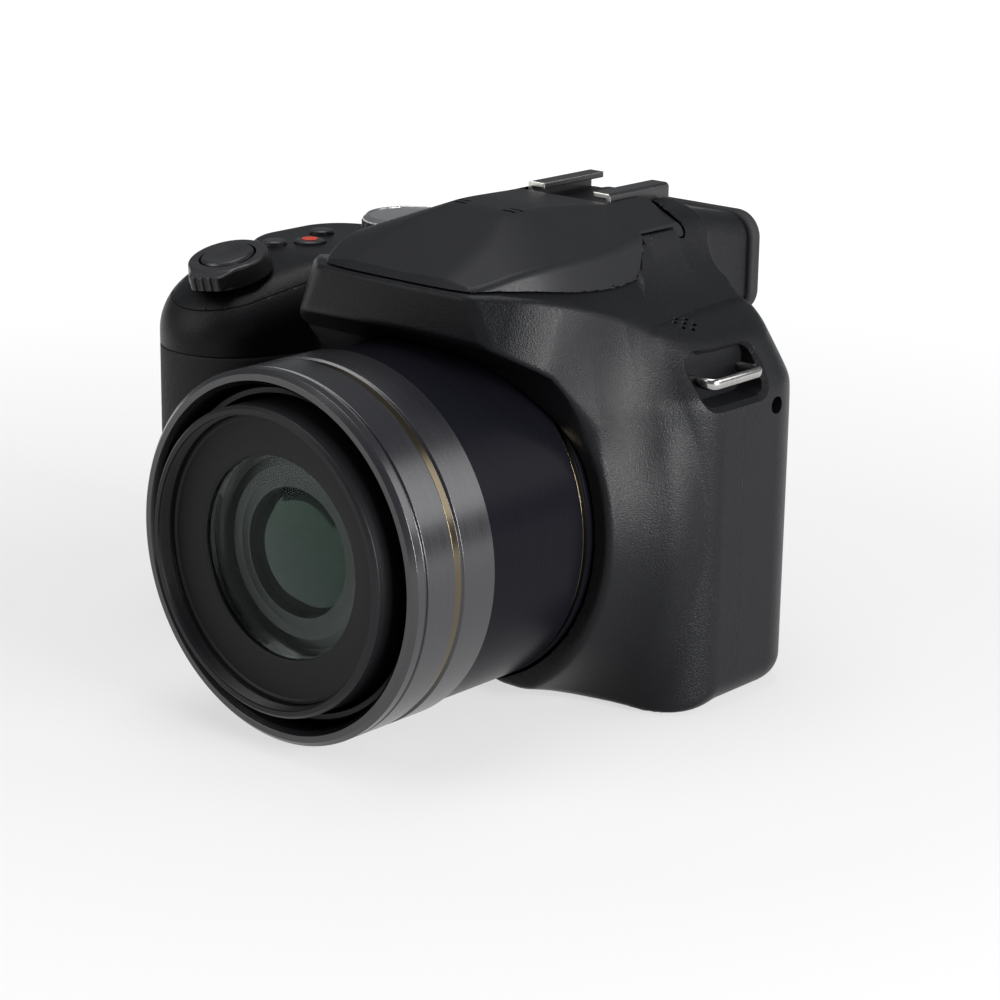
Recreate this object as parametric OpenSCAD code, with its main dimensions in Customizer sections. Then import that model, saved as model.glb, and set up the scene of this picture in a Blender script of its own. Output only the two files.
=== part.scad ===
// Bridge camera with a long zoom lens, built as separate pieces.
// The lens looks along -Y, +Z is up and +X is the camera's own left side.
// The origin is the mouth of the tripod socket in the base, under the lens axis.

/* [Body] */
// Lens axis to the left side of the body
body_left = 47; // [44:0.5:60]
// Lens axis to the grip side of the body
body_right = 83.2; // [78:0.1:100]
// Tripod axis to the front face
body_front = 23; // [21:0.5:30]
// Tripod axis to the back face
body_rear = 17; // [16:0.5:26]
// Height of the shoulders and of the control deck
deck_z = 75; // [73:0.5:85]
// Height of the crease where the sides start to lean in
crease_z = 61.5; // [56:0.5:64]
// Radius of the upright corners in plan
corner_r = 12; // [9:0.5:14]
// Rounding of the edge round the base
base_edge = 5; // [3:0.5:6]
// Thickness of the moulded covers
wall = 2; // [1.6:0.1:2.4]
// Joint between the front and the rear cover, in front of the tripod axis
seam_front = 5.7; // [5:0.1:8]
// Gap round pieces that come out of a cover
cover_gap = 0.3; // [0.2:0.05:0.5]

/* [Grip] */
// Reach of the handgrip in front of the tripod axis
grip_front = 46; // [40:0.5:52]
// Rounding of the front of the handgrip
grip_r = 15; // [12:0.5:17]
// Top edge of the rubber skin
skin_z = 57; // [50:0.5:60]
// Thickness of the rubber skin
skin_t = 1.2; // [0.8:0.1:1.6]
// Forward tilt of the deck in front of the buttons
deck_tilt = 15; // [8:1:20]
// Where the tilt starts, in front of the tripod axis
tilt_front = 20; // [16:0.5:24]

/* [Lens] */
// Radius of the filter thread in the front barrel
thread_r = 27.5; // [24:0.25:28]
// Wall of the front barrel
front_wall = 1.56; // [1.2:0.02:2]
// Wall of the zoom barrel
zoom_wall = 1.9; // [1.4:0.1:2.2]
// Wall of the outer barrel
barrel_wall = 2.2; // [1.8:0.1:2.6]
// Radial play between barrels that slide
slide_gap = 0.4; // [0.3:0.05:0.6]
// Radial play between the front barrel and the zoom barrel's bore
guide_gap = 0.94; // [0.6:0.02:1.2]
// Front of the plain barrel, in front of the tripod axis
barrel_end = 62.7; // [55:0.1:70]
// Front of the outer front ring
ring_end = 84; // [78:0.5:90]
// How far the front barrel stands out of the ring when stowed
stow_out = 3.1; // [1:0.1:5]
// Zoom travel of the first barrel
zoom_travel = 34; // [20:1:36]
// Zoom travel of the front barrel on the first
front_travel = 30; // [18:1:32]
// Bore of the name ring
name_bore = 19.2; // [16:0.1:21]
// Running clearance of rods, pins and shafts
run_gap = 0.05; // [0.03:0.01:0.08]

/* [Hump] */
// Height of the joint between the hump and the flash lid over the outer barrel
lid_gap = 12.9; // [11:0.1:17]
// Rise of the flash lid's crest over that joint
crest_rise = 10; // [8:0.5:14]
// Reach of the forehead plate
plate_front = 53.5; // [50:0.5:58]
// Half width of the forehead plate
plate_w = 19.5; // [16:0.5:24]
// Half width of the hump behind the plate
hump_w = 32; // [28:0.5:34]
// Rise of the accessory shoe's top over that joint
shoe_rise = 10.3; // [9:0.1:13]
// Opening angle of the flash lid
lid_open = 38; // [25:1:40]

/* [Eyepiece] */
// Half width of the eyepiece housing
eye_w = 21; // [19:0.5:24]
// Back of the eyecup, behind the tripod axis
eye_back = 32.1; // [30:0.1:36]

/* [Controls] */
// Radius of the shutter button
shutter_r = 5.5; // [4.5:0.1:6]
// Travel of the shutter button
shutter_travel = 0.8; // [0.4:0.1:0.9]
// Swing of the zoom lever each way
lever_swing = 20; // [10:1:25]
// Radius of the mode dial
mode_r = 10; // [8:0.5:11]
// Radius of the round buttons on the back
key_r = 3; // [2.4:0.1:3.4]
// Travel of the small buttons
key_travel = 0.5; // [0.3:0.05:0.6]
// Radius of the rear dial
rear_dial_r = 9; // [8:0.5:10]
// Travel of the battery door's latch
latch_travel = 2.5; // [1.5:0.5:3]
// Travel of the power switch
power_travel = 4; // [2:0.5:5]

/* [Interfaces] */
// Bore radius of the tripod socket, the tap size of a quarter inch thread
tripod_r = 2.55; // [2.5:0.05:4]
// Depth of the tripod socket
tripod_depth = 5.5; // [4.5:0.5:6]
// Inner half width of the accessory shoe
shoe_w = 9.35; // [9.3:0.05:9.5]
// Half width between the lips of the accessory shoe
lip_w = 6.25; // [6:0.05:6.5]
// Height of the accessory shoe's slot
shoe_slot = 2.05; // [2:0.05:2.2]

/* [Hidden] */

front_barrel_r = thread_r + front_wall;
cell_r = thread_r - 0.3;
thread_l = 3.2;
zoom_bore = front_barrel_r + guide_gap;
zoom_r = zoom_bore + zoom_wall;
barrel_bore = zoom_r + slide_gap;
barrel_r = barrel_bore + barrel_wall;
ring_r = barrel_r + 0.7;
lens_z = barrel_r + 2.1;
lid_z = lens_z + barrel_r + lid_gap;
collar_bore = barrel_r + 0.6;
collar_end = 35;
stow_end = ring_end + stow_out;
seam_y = -seam_front;
deck_t = 3;
deck_edge = -33.5;
grip_x = -(body_right - 17.2);
back_in = body_rear - wall;
hinge_y = 5.5;
hinge_z = lid_z + 3.5;
crest_z = lid_z + crest_rise;
shoe_z = lid_z + shoe_rise;
bed_z = shoe_z - 4.3;
eye_lo = lid_z - 17;
eye_hi = lid_z + 3.4;
eye_mid = (eye_lo + eye_hi) / 2;
lid_back = -6;
// half width of the hump where it meets the eyepiece housing, and of the lid at its widest and at its rear edge
hump_back = hump_w - 4;
lid_w = hump_w - 5.8;
lid_back_w = lid_w - 2.4;
plate_t = 1.6;
// where each control sits
shutter_p = [grip_x + 2, -33];
mode_p = [deck_edge - 16.4, body_rear - 12];
movie_p = [grip_x + 1.8, -10.1];
burst_p = [grip_x - 2.6, -16.2];
function_p = [grip_x - 3.5, -1.2];
power_p = [deck_edge - 3.2, 0];
rear_dial_p = [grip_x + 2, body_rear - 6.5];
rear_dial_z = deck_z - 9.5;
pad_p = [-49, 34];
glass_x = [-33, 36];
glass_z = [9, 59];
door_axis_x = -45.4;
door_axis_z = 1.2;
side_x = -body_right;
term_y = [-3.6, 7];
term_z = [28, 56];
lug_y = [-15.4, 1.4];
lug_z = 64.8;
lug_half = 1.8;
// how far the sides lean in between the crease and the deck
lean_left = 8;
lean_right = 3;
lug_lean_left = lean_left * (lug_z + lug_half - crease_z) / (deck_z - crease_z);
lug_lean_right = lean_right * (lug_z + lug_half - crease_z) / (deck_z - crease_z);
// upright roundings of the grip in plan: x, y and radius
grip_posts = [[grip_x, -grip_front + grip_r, grip_r], [-body_right + corner_r, 0, corner_r], [grip_x + 11.5, -14, 10]];
black = [0.07, 0.07, 0.08];
dark = [0.12, 0.12, 0.13];
metal = [0.7, 0.7, 0.72];
glass = [0.1, 0.14, 0.14];

// Small shapes used by many pieces
module box(a, b) translate(a) cube(b - a);
module post(p, r, z0, z1) translate([p[0], p[1], z0]) cylinder(r = r, h = z1 - z0);
// turned shape round the lens axis, profile points are [radius, distance forward]
module turned(profile, fn = 96)
  translate([0, 0, lens_z]) rotate([90, 0, 0]) rotate_extrude($fn = fn) polygon(profile);
module tube(r0, r1, h0, h1, fn = 96) turned([[r0, h0], [r1, h0], [r1, h1], [r0, h1]], fn);
// extrusion across the camera of a side profile with points [y, z]
module across(x0, x1, profile)
  translate([x0, 0, 0]) rotate([90, 0, 90]) linear_extrude(x1 - x0) polygon(profile);
// rounded plate standing upright, seen from the back
module back_plate(x, z, r, y0, y1)
  translate([0, y1, 0]) rotate([90, 0, 0]) linear_extrude(y1 - y0)
    translate([x[0] + r, z[0] + r]) offset(r, $fn = 32) square([x[1] - x[0] - 2 * r, z[1] - z[0] - 2 * r]);
module flat_plate(x, y, r, z0, z1)
  translate([0, 0, z0]) linear_extrude(z1 - z0)
    translate([x[0] + r, y[0] + r]) offset(r, $fn = 32) square([x[1] - x[0] - 2 * r, y[1] - y[0] - 2 * r]);
// frame of the tilted part of the deck at a point on its surface
function tilt_z(y) = deck_z - (-tilt_front - y) * tan(deck_tilt);
module on_tilt(p) translate([p[0], p[1], tilt_z(p[1])]) rotate([deck_tilt, 0, 0]) children();
module along_y(p) translate([p[0], 0, p[1]]) rotate([-90, 0, 0]) children();

// Outer forms of the body, each drawn in by e for the hollow inside
module main_form(e) hull() {
  for (sx = [0, 1], sy = [0, 1]) {
    px = sx ? body_left - corner_r : -body_right + corner_r;
    py = sy ? body_rear - corner_r : -body_front + corner_r;
    tx = sx ? px - lean_left : px + lean_right;
    ty = sy ? py - 2 : py + 5;
    post([px, py], corner_r - base_edge - e, e, base_edge, $fn = 32);
    post([px, py], corner_r - base_edge * 0.3 - e, base_edge * 0.3 + e, base_edge, $fn = 32);
    post([px, py], corner_r - e, base_edge + e, crease_z - e / 2, $fn = 32);
    post([tx, ty], corner_r - e, deck_z - 3 - e, deck_z - 2 - e, $fn = 32);
    post([tx, ty], corner_r - 2.4 - e, deck_z - 2 - e, deck_z - e, $fn = 32);
  }
}
module grip_hull(e) hull() {
  for (p = grip_posts) {
    post(p, p[2] - base_edge - e, e, base_edge, $fn = 32);
    post(p, p[2] - base_edge * 0.3 - e, base_edge * 0.3 + e, base_edge, $fn = 32);
    post(p, p[2] - e, base_edge + e, deck_z - 16, $fn = 32);
    post(p, p[2] - 2 - e, base_edge + e, deck_z - 8 - e / 2, $fn = 32);
    post(p, p[2] - 6 - e, base_edge + e, deck_z - e, $fn = 32);
  }
}
// everything above the deck surface, lowered by e
module above_deck(e, x0 = -120, x1 = 20)
  across(x0, x1, [[-tilt_front - 80, tilt_z(-tilt_front - 80) - e], [-tilt_front, deck_z - e], [60, deck_z - e], [60, 140], [-tilt_front - 80, 140]]);
module grip_form(e) difference() { grip_hull(e); above_deck(e); }
module collar_form(e)
  turned([[0, 8], [47 - e, 8], [45 - e, body_front], [41 - e, 29], [39.4 - e, collar_end - 1.5], [38 - e, collar_end], [0, collar_end]], 64);
// hump: flat on top under the flash lid, with a ledge round it that falls to the sides, and a plate
// in front that is wider at its lower edge
module hump_form(e) difference() { hump_block(e); for (s = [-1, 1]) ledge_cut(s, e); }
module ledge_cut(s, e) hull() for (x = [20, 60], y = [-70, seam_y], h = [0, 40])
  translate([s * x, y, lid_z - 9.9 - 0.714 * (x - hump_w) - 0.149 * y - 1.24 * e + h]) cube(0.01);
module hump_block(e) hull() {
  box([-plate_w + e, -plate_front + e, lid_z - 8.5], [plate_w - e, -plate_front + 3.5, lid_z - e]);
  box([-6, -plate_front - 0.8 + e, lid_z - 9.5 + e], [6, -plate_front + 3.5, lid_z - e]);
  box([-plate_w - 3.6 + e, -plate_front + 0.3 + e, lid_z - 9.5 + e], [plate_w + 3.6 - e, -plate_front + 3.5, lid_z - 8.5]);
  box([-hump_w + 3 + e, -44.5 + e, lid_z - 11], [hump_w - 3 - e, -40, lid_z - 1.2 - e]);
  box([-hump_w + e, -36 + e, lid_z - 19], [hump_w - e, -32, lid_z - 3.4 - e]);
  box([-hump_w + e, -32, lid_z - 19], [hump_w - e, -26, lid_z - 5.5 - e]);
  box([-hump_w + 1 + e, -26, lid_z - 19], [hump_w - 1 - e, -10, lid_z - 8 - e]);
  box([-hump_back + e, -26, lid_z - 19], [hump_back - e, 0, lid_z - 7 - e]);
  box([-24 + e, seam_y, lid_z - 12], [24 - e, 13 - e, lid_z - e]);
}
// bed of the shoe, with a slope on each side that falls away from the rail
module bed_form() {
  hull() {
    box([-hump_back + 1.5, seam_y + 0.3, lid_z - 6], [hump_back - 1.5, 4, lid_z - 3]);
    box([-24, seam_y + 0.3, lid_z - 3], [24, 4, lid_z]);
    box([-22, seam_y + 0.3, lid_z - 3], [22, 13, lid_z]);
    box([-18, seam_y + 0.3, lid_z - 3], [18, 16.2, bed_z]);
  }
  for (s = [-1, 1]) hull() {
    translate([s * (shoe_w + 1.7) - 0.2, seam_y + 1.4, lid_z]) cube([0.4, 17.5, 8.6]);
    translate([s * 20.2 - 0.2, seam_y + 1.4, lid_z]) cube([0.4, 17.5, 4.9]);
  }
}
module eye_form(e) hull()
  for (x = [-1, 1], z = [-1, 1]) translate([x * (eye_w - 5), 4.4, eye_mid + z * ((eye_hi - eye_lo) / 2 - 5)])
    rotate([-90, 0, 0]) cylinder(r = 5 - e, h = eye_back - 7.5, $fn = 32);
module body_form() {
  difference() { union() { main_form(0); grip_form(0); collar_form(0); hump_form(0); }
    box([-200, -200, -20], [200, 200, 0]);
    across(-46, 60, [[-80, -9], [-body_front, -9], [-body_front, 0], [-collar_end - 1, 3], [-80, 3]]);
  }
}
module body_hollow() {
  difference() {
    union() {
      main_form(wall);
      grip_hull(wall + skin_t + 0.1);
      translate([0, 0, 6]) grip_hull(wall + skin_t + 0.1);
      turned([[0, 8], [43, 8], [42, body_front], [39, 29], [37, 31], [0, 31]], 64);
      hump_form(wall);
    }
    // wall over the barrel under the hump
    turned([[collar_bore, 30], [collar_bore + wall, 30], [collar_bore + wall, 60], [collar_bore, 60]], 64);
    box([-200, -200, -20], [200, 200, wall * 0.8]);
  }
}
// front edge of the rubber skin and what it covers
module skin_zone(g) translate([0, 0, base_edge - g]) linear_extrude(skin_z - base_edge + 2 * g)
  polygon([[-body_right - 9, seam_y - 2.3 + g], [grip_x - 10 + g, seam_y - 2.3 + g], [grip_x - 10 + g, -body_front - 2 + g],
    [-40, -body_front - 2 + g], [-40, -70], [-body_right - 9, -70]]);
module skin_shell(inner, outer = 0) difference() { grip_form(outer); grip_form(inner); }
// openings shared by the covers
module lug_pocket(side) {
  x = side > 0 ? body_left - lug_lean_left : body_right - lug_lean_right;
  box([x - 6.2, lug_y[0] - 0.4, lug_z - 4.6], [x + 12, lug_y[1] + 0.4, lug_z + 4.6]);
}
module lug_walls(side) {
  x = side > 0 ? body_left - lug_lean_left : body_right - lug_lean_right;
  box([x - 6.2 - wall, lug_y[0] - 0.4 - wall, lug_z - 4.6 - wall], [x - 2, lug_y[1] + 0.4 + wall, lug_z + 4.6 + wall]);
}
module both_pockets() { lug_pocket(1); mirror([1, 0, 0]) lug_pocket(-1); }
module both_walls() { lug_walls(1); mirror([1, 0, 0]) lug_walls(-1); }
module base_outline(g) translate([-43.6 - g, -body_front + base_edge - g]) offset(2, $fn = 24) translate([2, 2])
  square([43.6 + body_left - base_edge - 1 + 2 * g - 4, body_front + body_rear - 2 * base_edge + 2 * g - 4]);
module door_outline(g) translate([grip_x - 9 - g, -36 - g]) offset(6, $fn = 32) translate([6, 6])
  square([-46.4 - grip_x + 9 + 2 * g - 12, 44 + 2 * g - 12]);
// flat of the base inside its rounded edge, drawn in by e
module base_flat(e) {
  hull() for (p = grip_posts) translate([p[0], p[1]]) rotate(4) circle(r = p[2] - base_edge - e, $fn = 36);
  translate([-body_right + base_edge + e, -body_front + base_edge + e]) square([body_right, body_front + body_rear - 2 * base_edge - 2 * e]);
}
// the door stays on that flat, and in front of the knuckles its edge stands back from the hinge line
module door_shape(g) intersection() {
  difference() { door_outline(g); translate([door_axis_x - 2.4 + g, -60]) square([20, 60 - 17.3]); }
  base_flat(1.1 - g);
}
module base_opening() translate([0, 0, -1]) linear_extrude(wall + 4) {
  base_outline(cover_gap);
  door_shape(cover_gap);
  translate([-52, -17]) square([8.8, 28]);
}
module cover_shell() difference() {
  union() {
    difference() { body_form(); body_hollow(); }
    intersection() { both_walls(); main_form(0.2); }
  }
  both_pockets();
  tube(0, collar_bore, 4, 60, 96);
  above_deck(deck_t, -120, deck_edge);
  base_opening();
}

// Moulded front cover: lens collar, forehead and the front of the grip
module front_cover() color(black) difference() {
  intersection() { cover_shell(); box([-200, -200, -20], [200, seam_y, lid_z]); }
  intersection() { skin_shell(skin_t + 0.05, -0.5); skin_zone(0.15); }
  hull() { box([-lid_w + 5, -36, lid_z - 6], [lid_w - 5, 20, lid_z + 9]); box([-plate_w + 2, -plate_front + 2.2, lid_z - 6], [plate_w - 2, -40, lid_z + 9]); }
  translate([-40, 0, 61]) rotate([90, 0, 0]) cylinder(r = 2.5, h = 60, $fn = 32);
  for (a = [0 : 60 : 300]) translate([34 + 2 * cos(a), -11 + 2 * sin(a), deck_z - 6]) cylinder(r = 0.5, h = 12, $fn = 12);
  translate([34, -11, deck_z - 6]) cylinder(r = 0.5, h = 12, $fn = 12);
}

// Moulded rear cover: back wall, eyepiece housing and the bed of the shoe
module rear_cover() color(black) difference() {
  union() {
    intersection() { cover_shell(); box([-200, seam_y, -20], [200, 200, lid_z]); }
    // roof of the hump behind the flash lid
    intersection() { hump_form(0); box([-200, seam_y, lid_z - wall], [200, 60, lid_z]); }
    difference() { union() { bed_form(); eye_form(0); } eye_form(wall); box([-eye_w + wall, -20, eye_lo], [eye_w - wall, back_in - 1, lid_z - wall]); }
    for (z = [term_z[0] - 2.2, term_z[1] + 0.4]) intersection() { post([side_x + 1, term_y[0]], 2, z, z + 1.8, $fn = 24); main_form(0); }
  }
  // inside of the eyepiece housing, joined to the body
  box([-eye_w + wall, 6, eye_lo + wall], [eye_w - wall, back_in + 1, lid_z - wall]);
  back_plate([-12.2, 12.2], [eye_mid - 7.2, eye_mid + 7.2], 2, 20, 60);
  // monitor
  back_plate([glass_x[0] - 0.2, glass_x[1] + 0.2], [glass_z[0] - 0.2, glass_z[1] + 0.2], 2.2, body_rear - 1, 60);
  back_plate([glass_x[0] + 1.7, glass_x[1] - 1.7], [glass_z[0] + 1.7, glass_z[1] - 1.7], 1, 10, 60);
  // keys
  for (p = back_keys) along_y(p) cylinder(r = key_r + cover_gap, h = 60, $fn = 32);
  along_y(pad_p) cylinder(r = 11 + cover_gap, h = 60, $fn = 48);
  // rear dial
  box([rear_dial_p[0] - rear_dial_r, 12, rear_dial_z - 0.4], [rear_dial_p[0] + rear_dial_r, 60, rear_dial_z + 4.4]);
  // dioptre dial
  translate([0, 16, eye_mid + 2]) rotate([0, -90, 0]) cylinder(r = 4.5 + cover_gap, h = 60, $fn = 32);
  // terminal door
  box([side_x - 5, term_y[0] - 1 - cover_gap, term_z[0] - cover_gap], [side_x + 6, term_y[1] + cover_gap, term_z[1] + cover_gap]);
  post([side_x + 1, term_y[0]], 0.7, term_z[0] - 1.8, term_z[1] + 1.8, $fn = 24);
  // lid ears and their pins
  for (s = [-1, 1]) {
    box([s * 16 - 2.9, seam_y - 1, hinge_z - 4.2], [s * 16 + 2.9, hinge_y + 4.2, lid_z + 20]);
    translate([s * 16, hinge_y, hinge_z]) rotate([0, 90, 0]) cylinder(r = 1.3, h = 14, center = true, $fn = 24);
  }
  box([-lid_w + 5, -36, lid_z - 6], [lid_w - 5, seam_y + 0.2, lid_z + 9]);
  post([0, 0], 6.2, -2, 9, $fn = 32);
}
back_keys = [[-31, deck_z - 12], [-44, deck_z - 15], [-40, pad_p[1] + 17], [-39, pad_p[1] - 18], [-58, pad_p[1] - 18], [28, deck_z - 11]];

// Control deck over the grip side, with the bearings of the controls
module top_deck() color(black) difference() {
  union() {
    intersection() { union() { main_form(0); grip_form(0); } above_deck(deck_t, -120, deck_edge - 0.1); box([-200, -200, 0], [200, 200, deck_z]); }
    on_tilt(shutter_p) translate([0, 0, -1]) cylinder(r = shutter_r + 0.45, h = 2.6, $fn = 64);
    post(rear_dial_p, 1.5, rear_dial_z - 1.4, deck_z - 1, $fn = 48);
  }
  on_tilt(shutter_p) translate([0, 0, -8]) cylinder(r = 2.5, h = 16, $fn = 48);
  post(mode_p, 3 + run_gap, deck_z - 9, deck_z + 9, $fn = 64);
  post(movie_p, 3.2 + cover_gap, deck_z - 9, deck_z + 9, $fn = 48);
  post(burst_p, 2.4 + cover_gap, deck_z - 9, deck_z + 9, $fn = 48);
  post(function_p, 2.4 + cover_gap, deck_z - 9, deck_z + 9, $fn = 48);
  box([power_p[0] - 1.3, power_p[1] - 1.8, deck_z - 9], [power_p[0] + 1.3, power_p[1] + 1.8 + power_travel, deck_z + 9]);
}

module grip_skin() color([0.05, 0.05, 0.05]) intersection() { skin_shell(skin_t); skin_zone(0); }

module thumb_pad() color([0.05, 0.05, 0.05]) back_plate([-body_right + corner_r + 0.2, -body_right + corner_r + 10], [20, deck_z - 15], 3, body_rear, body_rear + 1.1);

// Base plate with the tripod opening and the knuckles of the battery door
module base_plate() color(dark) difference() {
  union() {
    linear_extrude(plate_t) base_outline(0);
    for (y = [-16.4, 8.4]) difference() {
      box([door_axis_x - 1, y, 0.2], [-43, y + 2, 2.2]);
    }
  }
  post([0, 0], 5.6, -1, 5, $fn = 64);
  for (p = screw_at) { post(p, 1, -1, 5, $fn = 32); post(p, 1.9, -1, 0.7, $fn = 32); }
  translate([door_axis_x, -30, door_axis_z]) rotate([-90, 0, 0]) cylinder(r = 0.55, h = 60, $fn = 32);
}
screw_at = [[-38, -12], [-38, 8], [36, 8], [36, -12]];

module case_screws() color(metal) for (p = screw_at) difference() {
  union() { post(p, 0.9, 0.7, 6, $fn = 32); post(p, 1.7, 0.1, 0.7, $fn = 32); }
  translate([p[0], p[1], 0]) for (a = [0, 90]) rotate(a) cube([2, 0.4, 0.7], center = true);
}

// Metal chassis with the tripod bracket and the feet over the base plate
module chassis() color(metal) difference() {
  union() {
    box([-42, 3, 8.2], [42, 4.2, 57]);
    box([-20, 3, 8.2], [20, 4.2, lens_z + 30]);
    box([-14, -5, 7], [14, 4.2, 8.2]);
    for (p = screw_at) {
      difference() { post(p, 2.2, plate_t, 9, $fn = 32); post(p, 0.95, 0, 12, $fn = 32); }
      box([p[0] - 1.5, min(p[1], 3), 6.8], [p[0] + 1.5, max(p[1], 4.2), 9]);
    }
  }
  for (p = screw_at) post(p, 0.95, 0, 12, $fn = 32);
  // barrel clearance at the front feet
  turned([[0, 5], [barrel_r + 0.4, 5], [barrel_r + 0.4, 40], [0, 40]]);
}

module tripod_bush() color(metal) difference() {
  union() { post([0, 0], 5, 0, 5.5, $fn = 64); post([0, 0], 5, 5.5, 7, $fn = 64); }
  post([0, 0], tripod_r, -1, tripod_depth, $fn = 64);
}

module battery_case() color(dark) difference() {
  box([grip_x - 8.2, -35.2, 5.4], [grip_x + 9.2, 1.2, 50]);
  box([grip_x - 7.2, -34.2, 0], [grip_x + 8.2, 0.2, 49]);
}
module battery() color([0.2, 0.2, 0.22]) box([grip_x - 7, -34, 5.6], [grip_x + 8, 0, 49]);

// Fixed lens base with the posts that stand on the chassis
module lens_base() color(dark) {
  difference() {
    union() {
      tube(10, barrel_r - 0.3, 5.5, 10);
      tube(12, 14, 3, 5.5);
      for (a = [90, 210, 330]) translate([26 * cos(a), 0, lens_z + 26 * sin(a)]) rotate([90, 0, 0])
        translate([0, 0, -3]) cylinder(r = 3, h = 9, $fn = 48);
    }
    for (x = [-21, 21]) translate([x, 0, lens_z]) rotate([90, 0, 0]) cylinder(r = 1.5, h = 40, $fn = 48);
  }
}
module guide_rods() color(metal) for (x = [-21, 21]) translate([x, -5.5, lens_z]) rotate([90, 0, 0]) cylinder(r = 1.5, h = 57, $fn = 48);

// Fixed outer barrel with the bright groove near the collar
module outer_barrel() color([0.09, 0.09, 0.1]) turned([[barrel_bore, 10], [barrel_r, 10], [barrel_r, 35.8], [barrel_r - 0.4, 36.1], [barrel_r - 0.4, 37.4],
  [barrel_r, 37.7], [barrel_r, barrel_end], [barrel_bore, barrel_end]]);
module front_ring() color([0.1, 0.1, 0.11]) turned([[barrel_bore, barrel_end], [ring_r - 0.5, barrel_end], [ring_r, barrel_end + 0.5], [ring_r, ring_end - 12.3],
  [ring_r - 0.5, ring_end - 11.9], [ring_r - 0.5, ring_end - 10.7], [ring_r, ring_end - 10.35], [ring_r, ring_end - 3.4], [ring_r - 0.5, ring_end - 3.2], [ring_r - 0.5, ring_end - 2.7],
  [ring_r, ring_end - 2.5], [ring_r, ring_end - 0.9], [ring_r - 0.9, ring_end], [barrel_bore + 0.8, ring_end], [barrel_bore, ring_end - 1]]);

// First moving barrel
module zoom_barrel() color(dark) turned([[zoom_bore, 12], [zoom_r, 12], [zoom_r, 17], [zoom_r - 0.4, 17.4], [zoom_r - 0.4, ring_end - 5],
  [zoom_r - 0.8, ring_end - 4.5], [zoom_bore, ring_end - 4.5]]);
// Second moving barrel with the filter thread at its mouth
module front_barrel() color(black) turned([[cell_r, 16], [zoom_bore - 0.35, 16], [zoom_bore - 0.35, 21], [front_barrel_r, 21.5], [front_barrel_r, stow_end - 0.6],
  [front_barrel_r - 0.6, stow_end], [thread_r, stow_end], [thread_r, stow_end - thread_l], [cell_r, stow_end - thread_l]]);
module lens_cell() color(dark) difference() {
  turned([[12.2, stow_end - 19], [cell_r - run_gap, stow_end - 19], [cell_r - run_gap, stow_end - 5.4], [20.2, stow_end - 5.4], [20.2, stow_end - 10], [12.2, stow_end - 10]]);
}
module name_ring() color(black) turned([[name_bore, stow_end - 5.2], [cell_r - run_gap, stow_end - 5.2], [cell_r - run_gap, stow_end - thread_l], [cell_r - 0.8, stow_end - thread_l], [name_bore + 0.4, stow_end - 4.4]]);
// convex front glass, its face a circular arc
module front_glass() color(glass) turned(concat([[0, stow_end - 10], [20, stow_end - 10], [20, stow_end - 5.4], [19, stow_end - 5.4]], [for (i = [1 : 7]) [19 * cos(i * 11.25), stow_end - 5.4 + 1.5 * sin(i * 11.25)]], [[0, stow_end - 3.9]]));
module second_glass() color(glass) turned([[0, stow_end - 17], [12.1, stow_end - 17], [12.1, stow_end - 12], [9, stow_end - 11.2], [0, stow_end - 10.8]]);
// Zoom group that runs on the guide rods
module zoom_group() color(dark) difference() {
  union() { turned([[0, 22], [16, 22], [16, 31], [9, 32.5], [0, 33]]); box([-24, -26, lens_z - 3.4], [24, -22, lens_z + 3.4]); }
  for (x = [-21, 21]) translate([x, 0, lens_z]) rotate([90, 0, 0]) cylinder(r = 1.5 + run_gap, h = 60, $fn = 48);
}

module sensor_board() color([0.05, 0.25, 0.12]) {
  box([-16, -3, lens_z - 15], [16, -1.6, lens_z + 15]);
  box([-7, -5, lens_z - 5.5], [7, -3, lens_z + 5.5]);
}
module main_board() color([0.05, 0.25, 0.12]) {
  y = body_rear - 11;
  box([-42, y, 12], [38, y + 1.2, 62]);
  box([-10, y + 1.2, 38], [6, y + 2.8, 54]);
  box([-34, y + 1.2, 20], [-18, y + 2.6, 34]);
  for (x = [-38, 34], z = [16, 58]) translate([x, 4.2, z]) rotate([-90, 0, 0]) cylinder(r = 2, h = y - 4.2, $fn = 32);
}
// Board with the two sockets behind the side door
module terminal_board() color([0.05, 0.25, 0.12]) difference() {
  union() {
    box([side_x + 7.6, -8, 26], [side_x + 8.6, 8, 58]);
    box([side_x + 8.6, -7, 30], [grip_x - 8.2, -3, 48]);
    box([side_x + 2.3, -3, 45], [side_x + 7.6, 5, 49]);
    box([side_x + 2.3, -3, 34], [side_x + 7.6, 5, 37.4]);
  }
  box([side_x, -2.3, 45.7], [side_x + 5.6, 4.3, 48.3]);
  box([side_x, -2.5, 34.6], [side_x + 5.6, 4.5, 36.8]);
}
module monitor_panel() color(dark) back_plate([glass_x[0] + 2, glass_x[1] - 2], [glass_z[0] + 2, glass_z[1] - 2], 0.8, body_rear - 5.5, body_rear - 1);
module monitor_glass() color([0.03, 0.03, 0.04]) back_plate(glass_x, glass_z, 2, body_rear - 1, body_rear + 0.2);

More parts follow.
